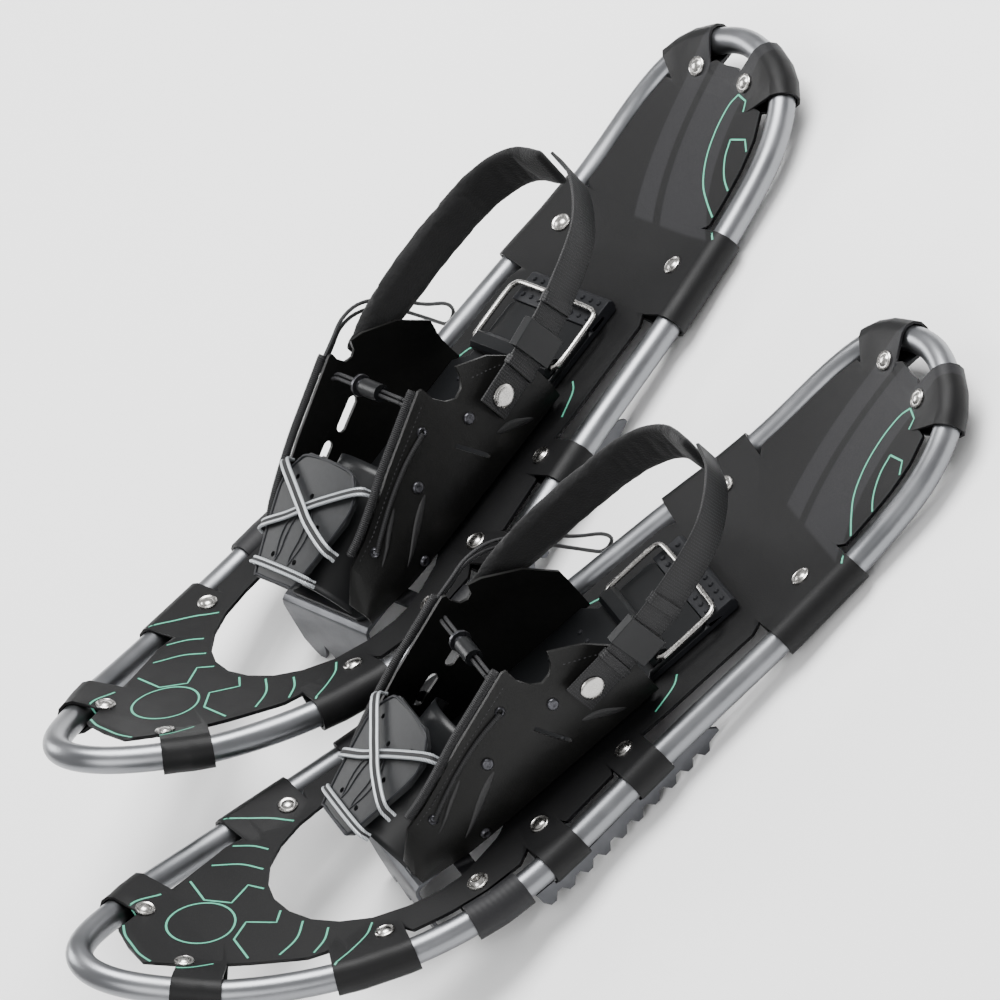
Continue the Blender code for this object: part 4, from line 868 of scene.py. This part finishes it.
bm = bmesh.new()
rib_rows = []
for k in range(10):
    a = math.tau * k / 10
    rib_rows.append([bm.verts.new(((HEM_R - 0.0004 + d) * math.cos(a), (HEM_R - 0.0004 + d) * math.sin(a), h))
                     for d, h in ((0.0, -0.00045), (0.0004, 0.0), (0.0, 0.00045))])
for k in range(10):
    a = rib_rows[k]
    b = rib_rows[(k + 1) % 10]
    for i in (0, 1):
        bm.faces.new((a[i], b[i], b[i + 1], a[i + 1]))
rib = new_piece("hem_rib", bm, piping)
for shoe in SHOES:
    up_there = place[shoe].to_3x3() @ Vector((0, 0, 1))
    for side, hem in ((1, "outer_hem"), (-1, "inner_hem")):
        ridge = []
        for back in HEM_BACKS:
            y = PIVOT_Y + back
            ridge.append(Vector((side * (wing_side(y, 1.0) + WING_T / 2), y, wing_top(y) + HEM_R + 0.0016)))
        path = [place[shoe] @ p for p in rounded(ridge, 8)]
        core = swept(shoe + hem + "_core", path, ring_of(HEM_R - 0.0004, 12), [piping], up_there)
        put(core, shoe, "binding", "piping", hem)
        spots = []
        total = sum((b - a).length for a, b in zip(path, path[1:]))
        lengths = np.cumsum([0.0] + [(b - a).length for a, b in zip(path, path[1:])])
        for k in range(1, int(total / RIB_STEP)):
            i = min(len(path) - 2, int(np.searchsorted(lengths, k * RIB_STEP)) - 1)
            t = (k * RIB_STEP - lengths[i]) / (lengths[i + 1] - lengths[i])
            spots.append((path[i].lerp(path[i + 1], t), (path[i + 1] - path[i]).normalized(), up_there))
        ribs = scattered(shoe + hem + "_ribs", spots, rib, piping)
        put(ribs, shoe, "binding", "piping")
    band, finishes = lace_outline(0.0060)
    short, short_finishes = lace_outline(0.0052)
    for lace, side, over, outline in (("lace_low", 1, 0.0, band), ("lace_high", -1, 0.0026, band)):
        ends = [on_plate(side * x, a, LACE_OVER + over + d) for x, a, d in LACE_ENDS]
        path = [place[shoe] @ p for p in rounded(ends, 6)]
        piece = swept(shoe + lace + "_band", path, outline, [lace_black, lace_painted_highlight], up_there, finishes)
        put(piece, shoe, "binding", "lace", lace)
    ends = [on_plate(x, a, LACE_OVER + d) for x, a, d in TOE_ENDS]
    path = [place[shoe] @ p for p in rounded(ends, 6)]
    piece = swept(shoe + "toe_lace_band", path, short, [lace_black, lace_painted_highlight], up_there, short_finishes)
    put(piece, shoe, "binding", "lace", "toe_lace")
    runner = [on_wing(shoe, 1, back, part, 0.0016) for back, part in
              ((0.0045, 0.80), (0.012, 0.845), (0.030, 0.875), (0.050, 0.872), (0.0695, 0.84))]
    piece = swept(shoe + "eyelet_cord", rounded(runner, 6), ring_of(0.0014, 10), [lace_black], up_there)
    put(piece, shoe, "binding", "cord")
bpy.data.objects.remove(rib)


# ---------------------------------------------------------------- tongue and toe plate
# A smooth moulded tongue lies over the toes. On it sits a plate of grey rubber with seven
# drilled holes, a raised rim and two leaf-shaped ribs.
grey_rubber, tree, shader = finish_named("grey_rubber", "#2b2c2e", 0.55, Specular_IOR_Level=0.30)
spot = node(tree, "ShaderNodeTexCoord").outputs["Object"]
bloom = node(tree, "ShaderNodeTexNoise", {"Scale": 1 / 0.003, "Detail": 5.0}, {"Vector": spot})
grain = node(tree, "ShaderNodeTexNoise", {"Scale": 1 / 0.0005, "Detail": 2.0}, {"Vector": spot})
two_tone(tree, shader, bloom.outputs["Fac"], "#161718", "#242527")
roughen(tree, shader, grain.outputs["Fac"], 0.00004)
RIM = [(0.0, 0.0), (0.014, 0.0), (0.0195, 0.05), (0.033, 0.62), (0.033, 0.80), (0.0275, 0.93), (0.018, 1.0)]
for shoe in SHOES:
    up_there = place[shoe].to_3x3() @ Vector((0, 0, 1))
    cup = merged_copy(shoe + "toe_cup", shoe + "toe_tongue", nylon, levels=2)
    put(cup, shoe, "binding", "moulding", "toe_cup")
    plate = merged_copy(shoe + "toe_plate", shoe + "toe_plate_rubber", grey_rubber, bevel=0.0004)
    put(plate, shoe, "binding", "toe_rubber", "toe_plate")
    half = RIM[1:]
    ring = half + [(-x, a) for x, a in reversed(half)]
    edge = [place[shoe] @ on_plate(x * 0.955, 0.02 + a * 0.96, 0.0026) for x, a in ring + ring[:1]]
    piece = swept(shoe + "toe_plate_rim", rounded(edge, 4), ring_of(0.0009, 8), [pad_rubber], up_there)
    put(piece, shoe, "binding", "toe_rubber")
    for side in (1, -1):
        leaf = [(0.006, 0.16), (0.0095, 0.30), (0.0105, 0.42), (0.0085, 0.54), (0.0040, 0.62), (0.0055, 0.50),
                (0.0060, 0.36), (0.0050, 0.24), (0.006, 0.16)]
        line = [place[shoe] @ on_plate(side * x, a, 0.0027) for x, a in leaf]
        piece = swept(shoe + "plate_rib_" + ("r" if side > 0 else "l"), rounded(line, 4), ring_of(0.0005, 6),
                      [pad_rubber], up_there)
        put(piece, shoe, "binding", "toe_rubber")


# ---------------------------------------------------------------- heel lifter
# A bail of 3.2 mm spring wire, nickel plated, hinged in the block behind the heel.
for shoe in SHOES:
    wire = merged_copy(shoe + "heel_lifter", shoe + "lifter_wire", nickel, levels=2)
    put(wire, shoe, "lifter", "plated_steel", "heel_lifter")


# ---------------------------------------------------------------- heel strap
# Polypropylene webbing, 22 mm wide, from the outer rivet through a ladder buckle and round the
# heel, then a soft pad of knit over foam to the inner rivet. Both ends turn on flat rivets.
webbing, tree, shader = finish_named("polypropylene_webbing", "#0e0e0f", 0.50, Specular_IOR_Level=0.30)
run = node(tree, "ShaderNodeUVMap", uv_map="run").outputs["UV"]
# warp cords across the strap and picks along it, drawn a little coarser than the real 1 mm
warp = node(tree, "ShaderNodeTexWave", {"Scale": wave_scale(0.0014)}, {"Vector": run}, bands_direction="X")
pick = node(tree, "ShaderNodeTexWave", {"Scale": wave_scale(0.0017)}, {"Vector": run}, bands_direction="Y")
weave = node(tree, "ShaderNodeMath", None, {0: warp.outputs["Fac"], 1: pick.outputs["Fac"]},
             operation="MULTIPLY")
roughen(tree, shader, weave.outputs["Value"], 0.00016)
two_tone(tree, shader, weave.outputs["Value"], "#0a0a0b", "#242426")

knit, tree, shader = finish_named("spacer_knit", "#0d0d0e", 0.82, Specular_IOR_Level=0.25, Sheen_Weight=0.15)
spot = node(tree, "ShaderNodeTexCoord").outputs["Object"]
# knit loops about 1.2 mm across
loops = node(tree, "ShaderNodeTexVoronoi", {"Scale": 1 / 0.0012}, {"Vector": spot})
fuzz = node(tree, "ShaderNodeTexNoise", {"Scale": 1 / 0.006, "Detail": 4.0}, {"Vector": spot})
roughen(tree, shader, loops.outputs["Distance"], 0.00020)
two_tone(tree, shader, fuzz.outputs["Fac"], "#09090a", "#161617")

OUTER_PIN = Vector((0.0545, 0.0237, 0.0470))
INNER_PIN = Vector((-0.0545, 0.0157, 0.0620))
WEB_W = 0.022
PAD_W = 0.032
web_x = OUTER_PIN.x - 0.0004
pin_y = OUTER_PIN.y
STRAP_ROUTE = [(web_x, pin_y - 0.010, 0.0460), (web_x, pin_y + 0.008, 0.0480), (web_x, pin_y + 0.035, 0.0510),
               (web_x - 0.002, pin_y + 0.065, 0.0570), (web_x - 0.010, pin_y + 0.100, 0.0650),
               (web_x - 0.030, pin_y + 0.123, 0.0720), (0.004, pin_y + 0.130, 0.0770)]
PAD_ROUTE = [(0.0030, pin_y + 0.1250, 0.0770), (-0.022, pin_y + 0.120, 0.0770),
             (-0.040, pin_y + 0.100, 0.0745), (-0.0490, pin_y + 0.068, 0.0710),
             (INNER_PIN.x + 0.002, pin_y + 0.035, 0.0680),
             (INNER_PIN.x, INNER_PIN.y + 0.012, 0.0640), (INNER_PIN.x, INNER_PIN.y - 0.008, 0.0610)]


def strip(width, thick):
    """Outline of a strap: wide upward, thin sideways, with softened edges."""
    w = width / 2
    t = thick / 2
    points = [(-t, -w + t), (-t * 0.7, -w + t * 0.3), (0, -w), (t * 0.7, -w + t * 0.3), (t, -w + t)]
    return points + [(t, 0.0)] + [(-s, -u) for s, u in points] + [(-t, 0.0)]


def swollen(pad):
    """Let air pressure round the pad's cloth out, never more than a millimetre and a half."""
    start = [v.co.copy() for v in pad.data.vertices]
    cloth = pad.modifiers.new("cloth", "CLOTH")
    cloth.settings.use_pressure = True
    cloth.settings.uniform_pressure_force = 4.0
    cloth.settings.effector_weights.gravity = 0.0
    cloth.settings.quality = 4
    cloth.point_cache.frame_start = 1
    cloth.point_cache.frame_end = 20
    for step in range(1, 21):
        bpy.context.scene.frame_set(step)
    settled = pad.evaluated_get(bpy.context.evaluated_depsgraph_get()).data
    moved = [v.co.copy() for v in settled.vertices]
    pad.modifiers.remove(cloth)
    for v, a, b in zip(pad.data.vertices, start, moved):
        shift = b - a
        v.co = a + shift * min(1.0, 0.0015 / max(shift.length, 1e-9))
    bpy.context.scene.frame_set(1)


pad_path = rounded(PAD_ROUTE, 6)
bm = bmesh.new()
rows = []
for i, spot in enumerate(pad_path):
    part = i / (len(pad_path) - 1)
    taper = max(0.0, (part - 0.72) / 0.28)
    width = PAD_W - (PAD_W - 0.020) * taper - 0.002
    thick = 0.0050 - 0.0026 * taper
    along = (pad_path[min(i + 1, len(pad_path) - 1)] - pad_path[max(i - 1, 0)]).normalized()
    sideways = along.cross(Vector((0, 0, 1))).normalized()
    rise = sideways.cross(along)
    rows.append([bm.verts.new(spot + sideways * s + rise * u) for s, u in strip(width, thick)])
for a, b in zip(rows, rows[1:]):
    for k in range(len(a)):
        j = (k + 1) % len(a)
        bm.faces.new((a[k], a[j], b[j], b[k]))
bm.faces.new(list(reversed(rows[0])))
bm.faces.new(rows[-1])
bmesh.ops.recalc_face_normals(bm, faces=bm.faces)
pad_shape = new_piece("pad_shape", bm, knit, None)
remesh = pad_shape.modifiers.new("even_cloth", "REMESH")
remesh.mode = "VOXEL"
remesh.voxel_size = 0.0018
remesh.use_smooth_shade = True
bpy.context.view_layer.update()
evened = bpy.data.meshes.new_from_object(pad_shape.evaluated_get(bpy.context.evaluated_depsgraph_get()))
pad_shape.modifiers.clear()
pad_shape.data = evened
swollen(pad_shape)

RIVET_PROFILE = [(0.0, 0.0013), (0.0030, 0.0013), (0.0050, 0.0014), (0.0064, 0.0010), (0.0070, 0.0005),
                 (0.0069, 0.0)]
flat_rivet = turned_cap("strap_rivet", RIVET_PROFILE, 28, nickel)
for shoe in SHOES:
    up_there = place[shoe].to_3x3() @ Vector((0, 0, 1))
    across = place[shoe].to_3x3() @ Vector((1, 0, 0))
    path = [place[shoe] @ p for p in rounded(STRAP_ROUTE, 10)]
    piece = swept(shoe + "heel_webbing", path, strip(WEB_W, 0.0020), [webbing], up_there)
    put(piece, shoe, "strap", "webbing", "heel_strap")
    for k, i in enumerate((13, 27)):
        outline = [(s, u * 1.06) for s, u in strip(WEB_W, 0.0062)]
        piece = swept(shoe + "web_keeper_" + str(k), path[i:i + 3], outline, [webbing], up_there)
        put(piece, shoe, "strap", "webbing")
    pad = bpy.data.objects.new(shoe + "heel_pad_knit", pad_shape.data.copy())
    bpy.context.scene.collection.objects.link(pad)
    pad.data.transform(place[shoe])
    finer = pad.modifiers.new("finer", "SUBSURF")
    finer.levels = 1
    finer.render_levels = 1
    put(pad, shoe, "strap", "pad_fabric", "heel_strap_pad")
    ladder = merged_copy(shoe + "strap_buckle", shoe + "ladder_buckle", nylon, bevel=0.0005)
    put(ladder, shoe, "strap", "moulding", "strap_buckle")
    for pin, side, head, name, old in ((OUTER_PIN, 1, 0.0009, "buckle_side_rivet", "outer_strap_rivet"),
                                       (INNER_PIN, -1, 0.0030, "pad_side_rivet", "inner_strap_rivet")):
        seat = place[shoe] @ Vector((side * (abs(pin.x) + head), pin.y, pin.z))
        rivet = scattered(shoe + name, [(seat, across * side, up_there)], flat_rivet, nickel)
        put(rivet, shoe, "strap", "plated_steel", old)
for model in (flat_rivet, pad_shape):
    bpy.data.objects.remove(model)


# ---------------------------------------------------------------- drawcord, lock and free loop
# One braided cord, 2.2 mm thick, runs doubled from wing to wing through a sprung lock and its
# free bight hangs outside the inner wing, over the frame tube. The lock slides on the cord.
braid, tree, shader = finish_named("braided_nylon_cord", "#161617", 0.60, Specular_IOR_Level=0.35)
run = node(tree, "ShaderNodeUVMap", uv_map="run").outputs["UV"]
# strands of the braid cross about every 1.3 mm
flip = node(tree, "ShaderNodeMapping", {"Scale": (-1.0, 1.0, 1.0)}, {"Vector": run})
left_hand = node(tree, "ShaderNodeTexWave", {"Scale": 2 * wave_scale(0.0013)}, {"Vector": run},
                 bands_direction="DIAGONAL")
right_hand = node(tree, "ShaderNodeTexWave", {"Scale": 2 * wave_scale(0.0013)},
                  {"Vector": flip.outputs["Vector"]}, bands_direction="DIAGONAL")
plait = node(tree, "ShaderNodeMath", None, {0: left_hand.outputs["Fac"], 1: right_hand.outputs["Fac"]},
             operation="MAXIMUM")
roughen(tree, shader, plait.outputs["Value"], 0.00012)
two_tone(tree, shader, plait.outputs["Value"], "#0c0c0d", "#232325")

CORD_D = 0.0022
CORD_APART = 0.0028
CORD_Y = PIVOT_Y + 0.078
CORD_Z = 0.0810
CORD_END = 0.0381
LOOP_ROUTE = [(-0.0480, -0.0150, 0.0790), (-0.0525, 0.0000, 0.0800), (-0.0570, 0.0130, 0.0805),
              (-0.0625, 0.0265, 0.0740), (-0.0695, 0.0395, 0.0600), (-0.0795, 0.0515, 0.0385),
              (-0.0885, 0.0610, 0.0170), (-0.0960, 0.0680, 0.0000), (-0.1000, 0.0720, -0.0085),
              (-0.1020, 0.0770, -0.0110), (-0.1010, 0.0810, -0.0070), (-0.0965, 0.0785, 0.0035),
              (-0.0895, 0.0680, 0.0190), (-0.0800, 0.0560, 0.0410), (-0.0695, 0.0436, 0.0625),
              (-0.0625, 0.0305, 0.0770), (-0.0568, 0.0165, 0.0835), (-0.0523, 0.0030, 0.0832),
              (-0.0477, -0.0120, 0.0822)]
for shoe in SHOES:
    up_there = place[shoe].to_3x3() @ Vector((0.3, 0.1, 1.0))
    path = [place[shoe] @ p for p in rounded(LOOP_ROUTE, 4)]
    loop = swept(shoe + "free_cord", path, ring_of(CORD_D / 2, 10), [braid], up_there.normalized())
    put(loop, shoe, "binding", "cord", "cord_loop")
    rise = [(CORD_END, -0.0040), (CORD_END - 0.005, -0.0012), (CORD_END - 0.010, -0.0001),
            (CORD_END - 0.013, 0.0)]
    line = [(-x, z) for x, z in rise] + rise[::-1]
    half = CORD_APART / 2
    out = [Vector((x, CORD_Y - half, CORD_Z + z)) for x, z in line]
    back = [Vector((x, CORD_Y + half, CORD_Z + z)) for x, z in line[::-1]]
    down = (out[-1] - out[-2]).normalized()
    middle = (out[-1] + back[0]) / 2
    turn = [middle + down * (half * math.sin(a)) - Vector((0, half * math.cos(a), 0))
            for a in (math.pi / 4, math.pi / 2, math.pi * 3 / 4)]
    path = [place[shoe] @ p for p in rounded(out + turn + back, 3)]
    across = swept(shoe + "doubled_cord", path, ring_of(CORD_D / 2, 10), [braid], up_there.normalized())
    put(across, shoe, "binding", "cord", "drawcord")
    barrel = merged_copy(shoe + "cord_lock", shoe + "lock_barrel", nylon, bevel=0.0005)
    put(barrel, shoe, "lock", "moulding", "cord_lock")
    button = merged_copy(shoe + "lock_button", shoe + "lock_plunger", dark_steel, bevel=0.0004)
    put(button, shoe, "button", "moulding", "lock_button")


# ---------------------------------------------------------------- floor and light
# A pale matt floor, one wide soft lamp above and behind the shoes, a weaker one from the
# camera's side and an even pale sky.
pale, tree, shader = finish_named("pale_floor", "#ffffff", 0.9)
bm = bmesh.new()
bmesh.ops.create_grid(bm, x_segments=1, y_segments=1, size=6.0)
floor = new_piece("floor", bm, pale, None)


def soft_lamp(name, azimuth, height, away, size, power):
    """A square lamp that looks at the middle of the pair."""
    lamp = bpy.data.lights.new(name, "AREA")
    lamp.size = size
    lamp.energy = power
    holder = bpy.data.objects.new(name, lamp)
    bpy.context.scene.collection.objects.link(holder)
    a = math.radians(azimuth)
    h = math.radians(height)
    outward = Vector((math.sin(a) * math.cos(h), -math.cos(a) * math.cos(h), math.sin(h)))
    facing = outward.to_track_quat("Z", "Y").to_matrix().to_4x4()
    holder.matrix_world = Matrix.Translation(outward * away) @ facing


soft_lamp("key", 200, 62, 2.2, 1.3, 105)
soft_lamp("fill", 60, 35, 2.6, 1.4, 34)
soft_lamp("rim", 300, 30, 2.4, 1.0, 34)
world = bpy.data.worlds.new("sky")
world.use_nodes = True
world.node_tree.nodes["Background"].inputs["Color"].default_value = (1, 1, 1, 1)
world.node_tree.nodes["Background"].inputs["Strength"].default_value = 0.60
bpy.context.scene.world = world
